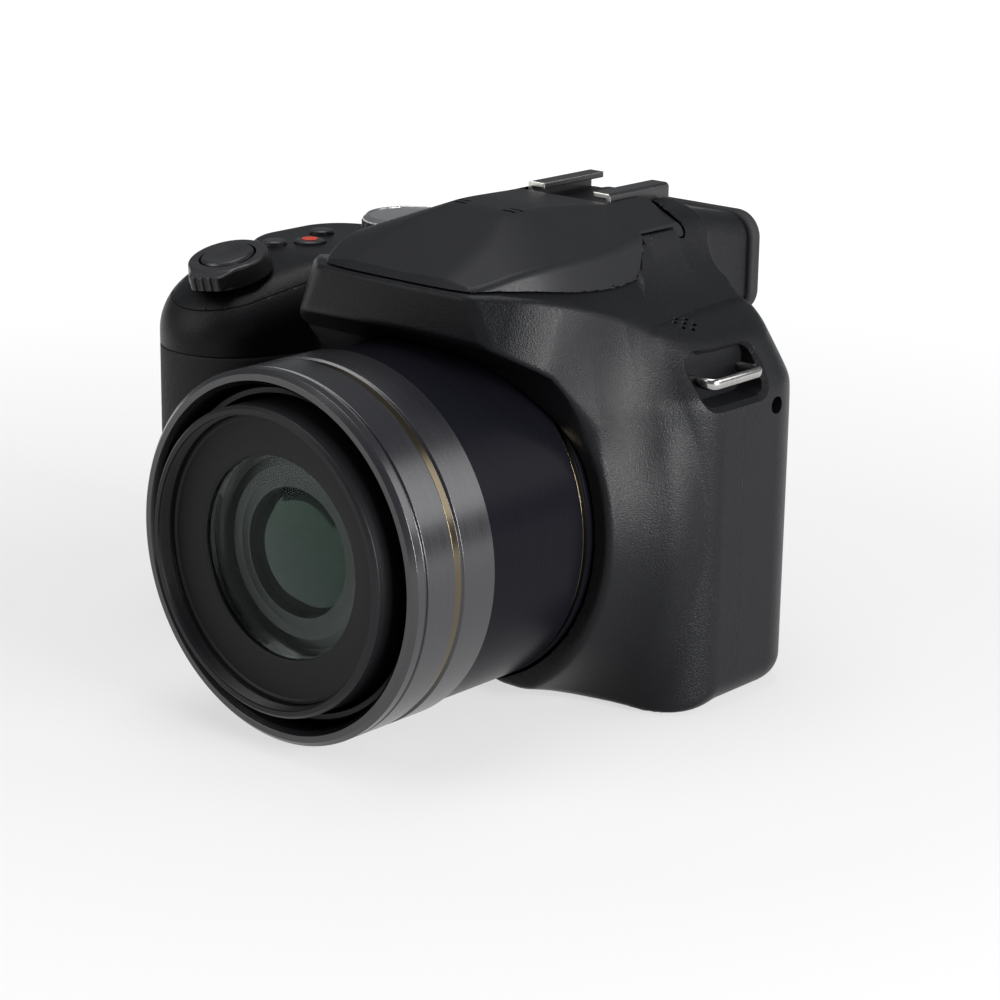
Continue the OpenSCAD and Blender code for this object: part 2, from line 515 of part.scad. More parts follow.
module viewfinder_tube() color(dark) difference() {
  box([-15, 9, eye_lo + wall + 0.3], [15, eye_back - 5.4, lid_z - wall - 0.3]);
  box([-13, 11, eye_lo + wall + 2], [13, 60, lid_z - wall - 2]);
  translate([0, 16, eye_mid + 2]) rotate([0, -90, 0]) cylinder(r = 1.5 + run_gap, h = 60, $fn = 48);
}
module eyepiece_lens() color(glass) back_plate([-12, 12], [eye_mid - 7, eye_mid + 7], 1.8, eye_back - 5.4, eye_back - 2);
module eyecup() color([0.05, 0.05, 0.05]) difference() {
  back_plate([-eye_w - 1, eye_w + 1], [eye_lo - 0.5, eye_hi + 0.5], 5.5, eye_back - 3.1, eye_back);
  back_plate([-13, 13], [eye_mid - 8, eye_mid + 8], 3, 0, 60);
}
module dioptre_dial() color(dark) translate([0, 16, eye_mid + 2]) rotate([0, -90, 0]) {
  translate([0, 0, eye_w - wall - 0.3]) cylinder(r = 4.5, h = wall + 1.6, $fn = 48);
  translate([0, 0, 13.3]) cylinder(r = 1.5, h = eye_w - wall - 13.4, $fn = 48);
}

// Accessory shoe: folded metal channel and the contact bed inside it
module shoe_rails() color([0.16, 0.16, 0.17]) {
  out = shoe_w + 1.15;
  box([-out, -2.6, bed_z], [out, 15.9, bed_z + 0.6]);
  for (s = [0, 1]) mirror([s, 0, 0]) {
    box([shoe_w, -2.6, bed_z], [out, 15.9, shoe_z]);
    box([lip_w, -2.6, bed_z + 1.1 + shoe_slot], [out, 15.9, shoe_z]);
  }
}
module shoe_base() color(black) union() {
  box([-shoe_w + 0.3, 0, bed_z + 0.6], [shoe_w - 0.3, 15.6, bed_z + 1.1]);
}
// steel bar on two legs over the pocket in the side
module strap_lug(x) difference() {
  box([x - 6.2, lug_y[0], lug_z - lug_half], [x - 0.2, lug_y[1], lug_z + lug_half]);
  box([x - 20, lug_y[0] + 1.2, lug_z - 9], [x - 1.4, lug_y[1] - 1.2, lug_z + 9]);
}
module strap_lug_left() color(metal) strap_lug(body_left - lug_lean_left);
module strap_lug_right() color(metal) mirror([1, 0, 0]) strap_lug(body_right - lug_lean_right);
module assist_lamp() color([0.3, 0.15, 0.05]) translate([-40, -body_front + 3, 61]) rotate([90, 0, 0]) cylinder(r = 2.3, h = 3.3, $fn = 48);

// Flash lid: hollow cap over the hump, with two ears on the hinge pins
module lid_form(e) hull() {
  box([-plate_w + 0.2 + e, -plate_front + 0.2 + e, lid_z - 1], [plate_w - 0.2 - e, -plate_front + 3, lid_z + 0.6]);
  box([-6, -plate_front - 0.6 + e, lid_z - 1], [6, -plate_front + 3, lid_z + 0.6]);
  box([-lid_w + 3 + e, -44.5 + e, lid_z - 5], [lid_w - 3 - e, -40, lid_z + 0.3]);
  box([-lid_w + e, -36 + e, lid_z - 5], [lid_w - e, -25, lid_z - 1.5]);
  box([-lid_back_w + e, -20, lid_z - 5], [lid_back_w - e, lid_back - e, lid_z - 1.5]);
  // ridge along each side, crest and the slope behind it
  box([-lid_w + 2 + e, -36 + e, lid_z - 1.5], [lid_w - 2 - e, -25, lid_z + 4 - e]);
  box([-lid_back_w + 1.6 + e, -20, lid_z - 1.5], [lid_back_w - 1.6 - e, lid_back - e, lid_z + 4.2 - e]);
  box([-10, -29.5, crest_z - 0.3 - e], [10, -20, crest_z - e]);
  box([-11.5, -20, crest_z - 1.5 - e], [11.5, lid_back - e, crest_z - 1 - e]);
}
module lid_ear(s) difference() {
  union() {
    across(s * 16 - 2.5, s * 16 + 2.5, [[lid_back - 5, lid_z + 1.2], [lid_back - 5, lid_z + 6.7], [hinge_y - 0.5, hinge_z + 3.4], [hinge_y - 0.5, hinge_z - 2]]);
    translate([s * 16 - 2.5, hinge_y, hinge_z]) rotate([0, 90, 0]) cylinder(r = 3.4, h = 5, $fn = 48);
  }
  translate([s * 16 - 5, hinge_y, hinge_z]) rotate([0, 90, 0]) cylinder(r = 1.2 + run_gap, h = 10, $fn = 48);
}
module flash_lid() color([0.09, 0.09, 0.1]) {
  // the skirt ends just over the hump's ledge
  difference() { lid_form(0); lid_form(plate_t); box([-13, -48, lid_z - 5], [13, -30, lid_z + 2]); hump_form(-0.3); }
  for (s = [-1, 1]) lid_ear(s);
  // ribs that carry the flash head
  for (s = [-1, 1]) intersection() {
    lid_form(0.3);
    box([s * 14 - 0.8, -44, lid_z], [s * 14 + 0.8, -33, lid_z + 20]);
  }
}
module flash_pins() color(metal) for (s = [-1, 1]) translate([s > 0 ? 10 : -18.3, hinge_y, hinge_z]) rotate([0, 90, 0]) cylinder(r = 1.2, h = 8.3, $fn = 48);
module flash_frame() translate([0, -39, lid_z + crest_rise / 2 - 6.2]) rotate([lid_open, 0, 0]) children();
module flash_window() color([0.8, 0.85, 0.85]) flash_frame() box([-12.4, -5.2, -3.8], [12.4, -4, 3.8]);
module flash_reflector() color(metal) flash_frame() difference() { box([-13.2, -4, -4], [13.2, 4, 4]); across(-11.5, 11.5, [[-5, -3.4], [-5, 3.4], [2.6, 0.8], [2.6, -0.8]]); }

// Top controls
module shutter_button() color(metal) on_tilt(shutter_p) {
  translate([0, 0, 2.6]) cylinder(r = shutter_r, h = 2.4, $fn = 64);
  translate([0, 0, -5]) cylinder(r = 2.2, h = 8, $fn = 48);
}
module zoom_lever() color(dark) on_tilt(shutter_p) difference() {
  union() {
    translate([0, 0, 0.4]) cylinder(r1 = shutter_r + 3.3, r2 = shutter_r + 2.7, h = 4, $fn = 64);
    rotate(18) hull() { translate([-3.5, -shutter_r - 5.2, 1.4]) cube([7, 2, 3]); translate([-5, -shutter_r - 1.6, 1.2]) cube([10, 1, 3.2]); }
  }
  translate([0, 0, -1]) cylinder(r = shutter_r + 0.5, h = 9, $fn = 64);
}
module mode_dial() color([0.45, 0.45, 0.47]) {
  difference() {
    post(mode_p, mode_r, deck_z + 0.4, deck_z + 6, $fn = 64);
    for (a = [0 : 15 : 345]) translate([mode_p[0], mode_p[1], deck_z]) rotate(a) translate([mode_r + 0.3, 0, 0.8]) cylinder(r = 0.7, h = 4.2, $fn = 12);
  }
  post(mode_p, 3, deck_z - deck_t - 2, deck_z + 1, $fn = 64);
  post(mode_p, 4.5, deck_z - deck_t - 2, deck_z - deck_t - 0.5, $fn = 48);
}
module power_switch() color(dark) {
  box([power_p[0] - 2, power_p[1] - 3.5, deck_z + 0.3], [power_p[0] + 2, power_p[1] + 3.5, deck_z + 2.2]);
  box([power_p[0] - 1, power_p[1] - 1.5, deck_z - 4], [power_p[0] + 1, power_p[1] + 1.5, deck_z + 1]);
  box([power_p[0] - 2, power_p[1] - 2.5, deck_z - 4.2], [power_p[0] + 2, power_p[1] + 2.5, deck_z - deck_t - 0.3]);
}
// press button through the deck, with a flange below it
module deck_key(p, r, out) {
  post(p, r, deck_z - deck_t - 0.6, deck_z + out, $fn = 48);
  post(p, r + 0.9, deck_z - deck_t - 1.2, deck_z - deck_t - 0.4, $fn = 48);
}
module movie_button() color(dark) deck_key(movie_p, 3.2, 0.7);
module burst_button() color(dark) deck_key(burst_p, 2.4, 0.8);
module function_button() color(dark) deck_key(function_p, 2.4, 0.8);
module rear_dial() color(dark) difference() {
  post(rear_dial_p, rear_dial_r - 0.3, rear_dial_z, rear_dial_z + 4, $fn = 64);
  post(rear_dial_p, 1.5 + run_gap, 0, 200, $fn = 48);
  for (a = [0 : 15 : 345]) translate([rear_dial_p[0], rear_dial_p[1], 0]) rotate(a) translate([rear_dial_r, 0, rear_dial_z - 1]) cylinder(r = 0.7, h = 6, $fn = 12);
}

// Keys on the back
module back_key(i) along_y(back_keys[i]) {
  translate([0, 0, back_in - 2.4]) cylinder(r = key_r, h = wall + 3.4, $fn = 48);
  translate([0, 0, back_in - 2.9]) cylinder(r = key_r + 0.9, h = 0.8, $fn = 48);
}
module viewfinder_button() color(dark) back_key(0);
module lock_button() color(dark) back_key(1);
module playback_button() color(dark) back_key(2);
module display_button() color(dark) back_key(3);
module quick_menu_button() color(dark) back_key(4);
module flash_button() color(dark) back_key(5);
module cursor_pad() color(dark) along_y(pad_p) difference() {
  union() { translate([0, 0, back_in + 0.4]) cylinder(r = 11, h = wall + 0.4, $fn = 64); translate([0, 0, back_in - 2]) cylinder(r = 8, h = 3, $fn = 64); }
  cylinder(r = 5, h = 60, $fn = 64);
}
module set_button() color(dark) along_y(pad_p) translate([0, 0, back_in - 2]) cylinder(r = 4.6, h = wall + 3, $fn = 64);

// Doors
module battery_door() color(dark) difference() {
  union() {
    translate([0, 0, 0.2]) linear_extrude(plate_t) difference() { door_shape(0); translate([door_axis_x - 2.4, -18]) square([20, 4]); }
    box([-50, -14, 0.2], [door_axis_x, 8, 0.2 + plate_t]);
    translate([door_axis_x, -14, door_axis_z]) rotate([-90, 0, 0]) cylinder(r = 1, h = 22, $fn = 32);
    translate([door_axis_x, -16.2, door_axis_z]) rotate([-90, 0, 0]) cylinder(r = 0.5, h = 26.4, $fn = 32);
  }
  box([grip_x - 6.3, -18.3, -1], [grip_x - 2 + latch_travel + 0.3, -9.7, 9]);
}
module door_latch() color(metal) {
  box([grip_x - 6, -18, 0.4], [grip_x - 2, -10, 2.6]);
  box([grip_x - 7.6, -19, 2.1], [grip_x - 1.4, -9, 2.7]);
}
module terminal_door() color(dark) union() {
  box([side_x, term_y[0], term_z[0]], [side_x + plate_t, term_y[1], term_z[1]]);
  post([side_x + 1, term_y[0]], 1, term_z[0], term_z[1], $fn = 32);
  post([side_x + 1, term_y[0]], 0.4, term_z[0] - 1.5, term_z[1] + 1.5, $fn = 32);
}

front_cover();
rear_cover();
top_deck();
grip_skin();
thumb_pad();
base_plate();
case_screws();
chassis();
tripod_bush();
battery_case();
battery();
lens_base();
guide_rods();
outer_barrel();
front_ring();
zoom_barrel();
front_barrel();
lens_cell();
name_ring();
front_glass();
second_glass();
zoom_group();
sensor_board();
main_board();
terminal_board();
monitor_panel();
monitor_glass();
viewfinder_tube();
eyepiece_lens();
eyecup();
dioptre_dial();
shoe_rails();
shoe_base();
strap_lug_left();
strap_lug_right();
assist_lamp();
flash_lid();
flash_pins();
flash_window();
flash_reflector();
shutter_button();
zoom_lever();
mode_dial();
power_switch();
movie_button();
burst_button();
function_button();
rear_dial();
lock_button();
viewfinder_button();
playback_button();
display_button();
quick_menu_button();
cursor_pad();
set_button();
flash_button();
battery_door();
door_latch();
terminal_door();
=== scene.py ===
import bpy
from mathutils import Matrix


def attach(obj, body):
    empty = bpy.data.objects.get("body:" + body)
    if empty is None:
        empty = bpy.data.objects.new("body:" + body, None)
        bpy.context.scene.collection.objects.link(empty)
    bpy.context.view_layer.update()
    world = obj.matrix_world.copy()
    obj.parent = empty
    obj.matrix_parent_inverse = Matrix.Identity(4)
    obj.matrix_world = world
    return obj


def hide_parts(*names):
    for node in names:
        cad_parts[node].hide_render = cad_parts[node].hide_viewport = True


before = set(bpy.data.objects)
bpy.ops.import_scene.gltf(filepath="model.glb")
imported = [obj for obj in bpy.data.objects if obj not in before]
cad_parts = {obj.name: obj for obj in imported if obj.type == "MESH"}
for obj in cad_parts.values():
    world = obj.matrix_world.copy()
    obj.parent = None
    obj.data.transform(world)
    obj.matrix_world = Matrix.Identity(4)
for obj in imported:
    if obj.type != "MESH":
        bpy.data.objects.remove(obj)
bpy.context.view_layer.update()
import bpy
import numpy as np
from mathutils import Matrix

scene = bpy.context.scene
scene.view_settings.view_transform = "Standard"

# Viewpoint: a tripod head in front of the camera's own left side and a little above the lens,
# with a lens long enough to keep the barrel's ellipses calm.
film_width, focal_ratio = 36.0, 2.82779
view_axes = ((0.751027, 0.660115, 0.014374), (-0.202420, 0.209468, 0.956635), (0.628478, -0.721368, 0.290936))
view_place = (0.350907, -0.424462, 0.196818)

def turned_to(*axes):
    """Matrix whose columns are the three given axes, with no shift."""
    return Matrix([[*row, 0.0] for row in zip(*axes)] + [[0.0, 0.0, 0.0, 1.0]])

viewpoint_data = bpy.data.cameras.new("viewpoint")
viewpoint_data.sensor_width = film_width
viewpoint_data.lens = film_width * focal_ratio
viewpoint = bpy.data.objects.new("viewpoint", viewpoint_data)
viewpoint.matrix_world = turned_to(*view_axes)
viewpoint.location = view_place
scene.collection.objects.link(viewpoint)
scene.camera = viewpoint

# Studio: a pale paper table that takes a soft shadow from the lamps, deepened by painted shade where its glow
# is weaker near the object, and five soft lamps: a strong box and a small strip at the camera's left side, a
# weak box behind it, one overhead and one in front of the grip.
table_half, table_z = 4.0, -0.0004
paper_grey, paper_glow_shaded_near, paper_glow_far = 0.2, 0.62, 1.0

def wire(tree, kind, out=0, **sockets):
    """Adds a shader node, sets or links its inputs by name or as i0, i1, and returns one output."""
    made = tree.nodes.new(kind)
    for key, value in sockets.items():
        spot = made.inputs[int(key[1:]) if key[1:].isdigit() else key.replace("_", " ")]
        if isinstance(value, bpy.types.NodeSocket):
            tree.links.new(value, spot)
        else:
            spot.default_value = value
    return made.outputs[out]

table_paper = bpy.data.materials.new("table_paper")
table_paper.use_nodes = True
paper_tree = table_paper.node_tree
rays = paper_tree.nodes.new("ShaderNodeLightPath").outputs
looked_at = wire(paper_tree, "ShaderNodeMath", i0=rays["Is Glossy Ray"], i1=rays["Is Transmission Ray"])
looked_at = wire(paper_tree, "ShaderNodeMath", i0=looked_at, i1=rays["Is Camera Ray"])
here = paper_tree.nodes.new("ShaderNodeTexCoord").outputs["Object"]
reach = wire(paper_tree, "ShaderNodeVectorMath", 1, i0=here)
reach.node.operation = "LENGTH"
# the glow seen by camera, glossy and transmission rays rises from near to far: painted shade round the
# object, also in the floor that the lens barrel reflects
level = wire(paper_tree, "ShaderNodeMapRange", Value=reach, From_Min=0.12, From_Max=0.6,
             To_Min=paper_glow_shaded_near, To_Max=paper_glow_far)
glow = wire(paper_tree, "ShaderNodeMath", i0=looked_at, i1=level)
glow.node.operation = "MULTIPLY"
paper = paper_tree.nodes["Principled BSDF"]
paper.inputs["Base Color"].default_value = (paper_grey, paper_grey, paper_grey, 1)
paper.inputs["Roughness"].default_value = 0.95
paper.inputs["Specular IOR Level"].default_value = 0.1
paper.inputs["Emission Color"].default_value = (1, 1, 1, 1)
paper_tree.links.new(glow, paper.inputs["Emission Strength"])
table_mesh = bpy.data.meshes.new("table")
table_corners = [(x * table_half, y * table_half, table_z) for x, y in ((-1, -1), (1, -1), (1, 1), (-1, 1))]
table_mesh.from_pydata(table_corners, [], [(0, 1, 2, 3)])
table_mesh.materials.append(table_paper)
table = bpy.data.objects.new("table", table_mesh)
scene.collection.objects.link(table)
studio = bpy.data.worlds.new("studio")
studio.use_nodes = True
sky = studio.node_tree.nodes["Background"].inputs
sky["Color"].default_value = (0.94, 0.97, 1.0, 1)
sky["Strength"].default_value = 0.2
scene.world = studio
for name, spot, aim, size, power in (
        ("box_left_rear", (0.62, 0.50, 0.46), (0.0, -0.03, 0.04), (0.42, 0.5), 1.7),
        ("box_overhead", (-0.10, -0.05, 0.85), (-0.02, -0.02, 0.05), (0.7, 0.5), 5.0),
        ("box_side", (0.88, -0.05, 0.26), (0.0, -0.03, 0.07), (0.50, 0.36), 14.0),
        ("strip_side", (0.92, 0.07, 0.11), (0.03, -0.03, 0.05), (0.14, 0.16), 2.2),
        ("box_front", (-0.55, -0.75, 0.55), (0.0, -0.03, 0.04), (0.5, 0.5), 3.4)):
    lamp = bpy.data.lights.new(name, "AREA")
    lamp.shape = "RECTANGLE"
    lamp.size, lamp.size_y = size
    lamp.energy = power
    rig = bpy.data.objects.new(name, lamp)
    away = np.subtract(spot, aim) / np.linalg.norm(np.subtract(spot, aim))
    across = np.cross((0, 0, 1), away)
    across /= np.linalg.norm(across)
    rig.matrix_world = turned_to(across, np.cross(away, across), away)
    rig.location = spot
    scene.collection.objects.link(rig)

# Front cover: one injection moulding in charcoal grained plastic, with the lens collar, the forehead over
# the lens and the front of the grip. It is screwed to the rear cover behind it.
def round_union(a, b, width):
    """Nearer of two surfaces, with a fillet about as wide as given where they meet."""
    share = np.clip(0.5 + 0.5 * (b - a) / width, 0, 1)
    return b + (a - b) * share - width * share * (1 - share)

def round_meet(a, b, radius):
    """What two forms have in common, the edge between them rounded to a radius."""
    over_a, over_b = np.maximum(a + radius, 0), np.maximum(b + radius, 0)
    return np.minimum(np.maximum(a, b), -radius) + np.hypot(over_a, over_b)

def ramp(v, soft=1.0):
    """Zero for negative values and the value itself for positive ones, with a rounded knee."""
    return 0.5 * (v + np.sqrt(v * v + soft * soft))

def ease(v, low, high):
    """Goes from 0 to 1 between two values with level ends."""
    t = np.clip((v - low) / (high - low), 0, 1)
    return t * t * (3 - 2 * t)

def plan_box(x, y, x0, x1, y0, y1, r):
    """Distance to a rectangle with rounded corners in plan; the limits may change with height."""
    past_x = np.abs(x - (x0 + x1) / 2) - (x1 - x0) / 2 + r
    past_y = np.abs(y - (y0 + y1) / 2) - (y1 - y0) / 2 + r
    outside = np.hypot(np.maximum(past_x, 0), np.maximum(past_y, 0))
    return outside + np.minimum(np.maximum(past_x, past_y), 0) - r

def plan_taper(x, y, a, b):
    """Distance to the outline drawn by a disc that goes from circle a to circle b, each given as x, y and
    radius: to the nearer circle beyond the ends, and to the common tangent of both along the flank."""
    bx, by, shrink = b[0] - a[0], b[1] - a[1], a[2] - b[2]
    length2 = bx * bx + by * by
    px, py = x - a[0], y - a[1]
    along = px * bx + py * by
    past = along - length2
    side2 = (px * length2 - bx * along) ** 2 + (py * length2 - by * along) ** 2
    flank2, edge = length2 - shrink * shrink, np.sign(shrink) * shrink * shrink * side2
    flank = (np.sqrt(side2 * flank2 / length2) + along * shrink) / length2 - a[2]
    at_a = np.sqrt(side2 + along ** 2 * length2) / length2 - a[2]
    at_b = np.sqrt(side2 + past ** 2 * length2) / length2 - b[2]
    shape = np.where(np.sign(along) * flank2 * along ** 2 * length2 < edge, at_a, flank)
    return np.where(np.sign(past) * flank2 * past ** 2 * length2 > edge, at_b, shape)

lens_z, lens_bore, lens_room = 36.6, 35.1, 37.1
deck_z, shoulder_z = 75.0, 61.5
joint_y = -5.7
wall, base_wall = 2.0, 1.6
block_right, block_left, block_front, block_rear = -83.15, 47, -23, 17
collar_r, collar_rear, collar_front = 39.2, -33.5, -35.0
brow_front, brow_curve, plate_front = -54.3, 0.0021, -53.5
hump_half, hump_rear = 33.5, 13.0
shoe_half, shoe_bed_z = 10.9, 90.0
eyepiece_half, eyepiece_base, eyepiece_rear = 21, 67, 29.0
grip_nose, grip_heel, grip_palm = (-66, -31), (-71.15, 0), (-54.5, -14)

def grip_plan(x, y, nose, heel, palm):
    """Distance to the grip's outline in plan: three tapers between circles at its nose, heel and palm."""
    sides = ((nose, heel), (nose, palm), (heel, palm))
    return np.minimum.reduce([plan_taper(x, y, start, end) for start, end in sides])

def deck_height(y):
    """Top of the grip side: level as far as y -20 and falling 15 degrees in front of it."""
    return deck_z - 0.268 * ramp(-20.0 - y, 2.0)

def rim_height(x, y):
    """Height of the ledge under the flash lid: it dips to the sides and climbs again towards the shoe."""
    fall = np.clip(0.07 + 0.025 * (y + 45.0), 0.07, 0.75)
    return np.minimum(82.6 - 0.073 * (y + 36.0) - fall * (np.abs(x) - 25.0), 83.7)

def fairing(y):
    """Ramp behind the flash lid that climbs from the ledge to the bed of the shoe."""
    return 81.0 + 1.61 * (y + 10.6)

def shoe_side(x):
    """Slope that falls from the shoe's rail to each side; the lid's rear flanks and arms lie on it too."""
    return 88.2 - 0.42 * (np.abs(x) - 22.5)

def block_form(x, y, z):
    """Distance to the block behind the lens, with leaning shoulders, and the cone of the lens collar."""
    lean = ramp(z - shoulder_z, 1.4)
    block = plan_box(x, y, block_right + 0.222 * lean, block_left - 0.593 * lean,
                     block_front + 0.37 * lean, block_rear - 0.148 * lean, 12.0)
    block = round_meet(block, (z - shoulder_height(x, y)) * 0.94, 2.2)
    radius = np.hypot(x, z - lens_z)
    collar = round_meet(0.942 * (radius - collar_r) + 0.335 * (collar_rear - y), collar_front - y, 1.2)
    body = round_union(block, np.maximum(collar, y + 14), 0.01 + 9.0 * ease(-y, 13, 24))
    return round_meet(body, -0.974 * (z - 0.231 * ramp(-23.5 - y, 1.0)), 1.2 + 3.8 * ease(y, -21, -8))

def shoulder_height(x, y):
    """Top of the body beside the hump: the deck on the grip side and a slope that falls away on the other."""
    return np.where(x < -20, deck_height(y), deck_z - 0.42 * ramp(x - 34.0, 2.0))

def grip_form(x, y, z):
    """Distance to the grip: its outline in plan carried up to the deck, rounded over at both ends."""
    grip = grip_plan(x, y, (*grip_nose, 15), (*grip_heel, 12), (*grip_palm, 10))
    return round_meet(round_meet(grip, (z - deck_height(y)) * 0.966, 9.0), -z, 5.0)

def hump_form(x, y, z):
    """Distance to the hump over the lens: a curved brow, three flat facets down each side, a back that
    closes in and a cut below the forehead, fading out below z 61."""
    ax = np.abs(x)
    brow = brow_front - y + brow_curve * x * x
    hump = round_meet(brow, 0.66 * (ax - 18.7 - 0.457 * (84.5 - z)) - 0.697 * (y - plate_front), 1.2)
    hump = round_meet(hump, 0.92 * (ax - 29 - 0.2 * (83 - z)) - 0.325 * (y + 44.5), 2.5)
    hump = round_meet(hump, np.maximum(ax - hump_half, 0.988 * (ax - hump_half) + 0.152 * (y + 26)), 3.5)
    hump = np.maximum(hump, np.maximum(0.956 * (ax - 28) + 0.294 * y, y - hump_rear))
    under = np.minimum(-0.85 * (z - 74.4) - 0.527 * (y - plate_front),
                       -0.656 * (z - 68.6) - 0.755 * (y + 44.0))
    return round_meet(hump, under, 1.2) + 0.5 * ramp(61.0 - z, 4.0)

def shoe_bed(x, y, z):
    """Distance to the bed of the shoe: a level strip between two slopes, with a ramp up to it in front."""
    ax = np.abs(x)
    bed = np.maximum(0.834 * (ax - 24.0 + 0.18 * np.maximum(y - 4, 0)) + 0.552 * (z - 83.5), y - hump_rear)
    bed = round_meet(bed, 0.92 * (z - np.where(ax < shoe_half, shoe_bed_z, shoe_side(x))), 0.8)
    return np.maximum(bed, np.maximum(0.53 * (z - fairing(y)), 70 - z))

def body_form(x, y, z):
    """Distance to the outside of the moulded body: the block, the grip in front of its right end, the hump,
    the bed of the shoe and the eyepiece box, joined with fillets and cut off at the ledge of the lid."""
    body = round_union(block_form(x, y, z), grip_form(x, y, z), 0.01 + 4.0 * ease(x, -72, -58))
    body = round_union(np.maximum(body, -z), hump_form(x, y, z), 5.0 + 7.0 * ease(x, -12, 12))
    body = round_meet(body, (z - np.maximum(rim_height(x, y), shoulder_height(x, y))) * 0.86, 1.0)
    body = round_union(body, shoe_bed(x, y, z), 2.0)
    crown = 87.4 + 0.2 * (eyepiece_rear - np.maximum(y, 16.0))
    eyepiece_box = plan_box(x, z, -eyepiece_half, eyepiece_half, eyepiece_base, crown, 5.0)
    eyepiece_box = round_meet(eyepiece_box, y - eyepiece_rear, 0.8)
    return np.minimum(round_union(body, np.maximum(eyepiece_box, -2 - y), 3.5), 99.0)

lid_half, lid_widest_y = 26.2, -31.0

def lid_reach(y):
    """Half width of the flash lid: widest at one place, and less by the square of the way from it."""
    return lid_half - np.where(y < lid_widest_y, 0.0163, 0.0043) * (y - lid_widest_y) ** 2

pocket_front, pocket_rear, pocket_low, pocket_high, pocket_depth = -15.8, 1.8, 60.2, 69.4, 3.8
well_floor, well_back, well_sheet = 73.2, -5.1, 0.6

def cover_form(x, y, z):
    """The body's 2 mm wall: the outside less the same form drawn in, with the bore of the lens, the pockets
    of the strap lugs, the seat of the flash lid and the openings of the deck and the base cut out."""
    body = body_form(x, y, z)
    radius = np.hypot(x, z - lens_z)
    inside = np.maximum(np.maximum(body + wall, np.minimum(lens_room - radius, -29 - y)), base_wall - z)
    cover = np.maximum(body, -inside)
    from_side = np.where(x > 0, x - 43.98, -x - 82.07)
    pocket_block = plan_box(y, z, pocket_front - wall, pocket_rear + wall,
                            pocket_low - wall, pocket_high + wall, 3.0)
    cover = np.minimum(cover, np.maximum(np.maximum(body + 0.2, pocket_block), -from_side - 8.2))
    pocket = plan_box(y, z, pocket_front, pocket_rear, pocket_low, pocket_high, 2.6)
    pocket = pocket - 0.9 * np.clip(1 + body / 1.1, 0, 1)
    cover = np.maximum(cover, -np.maximum(pocket, -from_side - pocket_depth))
    cover = np.maximum(cover, -np.maximum(radius - lens_bore, y + 4))
    seat = np.maximum(np.maximum(np.abs(x) - lid_reach(y) + 1.7, -51.0 - y), np.maximum(y - joint_y, 74 - z))
    cover = np.maximum(cover, -seat)
    # a floor and a back wall close the seat
    well = np.maximum(np.abs(y - well_back) - well_sheet, 72.6 - z)
    well = np.minimum(np.abs(z - well_floor) - well_sheet, well)
    cover = np.minimum(cover, np.maximum(np.maximum(well, body + 1.0), np.maximum(np.abs(x) - 26.0, y + 4.5)))
    cover = np.maximum(cover, -np.maximum(deck_height(y) - 3.0 - z, x + 33.5))
    base = np.minimum(plan_box(x, y, -43.9, 41.3, -18.3, 12.3, 2.3), door_plan(x, y) - 0.3)
    base = np.minimum(base, plan_box(x, y, -52, -43.2, -17, 11, 0.4))
    return np.maximum(cover, -np.maximum(base, z - 5.0))

def door_plan(x, y):
    """Outline of the battery door in plan: a rounded plate kept to the flat of the base and stepped back
    at its hinge."""
    flat = grip_plan(x, y, (*grip_nose, 8.9), (-71.2, 0, 5.9), (*grip_palm, 3.9))
    flat = np.minimum(flat, np.maximum(-x - 77.1, -16.9 - y))
    door = np.maximum(plan_box(x, y, -75, -46.4, -36, 8, 6.0), flat)
    return np.maximum(door, -np.maximum(-47.8 - x, y + 17.3))

def skin_zone(x, y, z):
    """Where the rubber of the grip lies: round its front, from the base edge to z 57."""
    plan = np.maximum(np.maximum(y + 8.0, np.minimum(y + 25, x + 76)), x + 40)
    return np.maximum(plan, np.maximum(5.0 - z, z - 57.0))

speaker_x, speaker_y, speaker_ring, speaker_hole = 35.3, -10.3, 2.0, 0.6
lamp_x, lamp_z = -40, 61

def front_cover_form(x, y, z):
    """Cover in front of the joint, less the bed of the grip skin, the window of the focus lamp and the seven
    holes of the speaker, six in a ring and one in the middle."""
    cover = np.maximum(cover_form(x, y, z), y - joint_y)
    cover = np.maximum(cover, -np.maximum(skin_zone(x, y, z) - 0.15, -body_form(x, y, z) - 1.25))
    window = np.maximum(np.hypot(x - lamp_x, z - lamp_z) - 2.5, y + 10)
    turn, r = np.arctan2(y - speaker_y, x - speaker_x), np.hypot(x - speaker_x, y - speaker_y)
    near = (turn + np.pi / 6) % (np.pi / 3) - np.pi / 6
    holes = np.minimum(np.hypot(r * np.cos(near) - speaker_ring, r * np.sin(near)), r) - speaker_hole
    return np.maximum(cover, -np.minimum(window, np.maximum(holes, 70 - z)))

fineness = 1.0

def spaced(start, *steps):
    """Grid positions that run from a start through pairs of a spacing and the end it holds to, each stretch
    in whole blocks of four."""
    parts = [np.array([start])]
    for size, end in zip(steps[::2], steps[1::2]):
        count = int(np.ceil((end - start) / (size * fineness) / 4)) * 4
        parts.append(start + (end - start) * np.arange(1, count + 1) / count)
        start = end
    return np.concatenate(parts)

def linked(name, mesh):
    """Object at the origin that shows a mesh."""
    piece = bpy.data.objects.new(name, mesh)
    scene.collection.objects.link(piece)
    return piece

def unit(v, least):
    """Vectors brought to length one; those shorter than the least stay short."""
    return v / np.maximum(np.linalg.norm(v, axis=1, keepdims=True), least)

grid_shift = (0.0131, 0.0173, 0.0119)  # keeps flat faces off the nodes of the grid

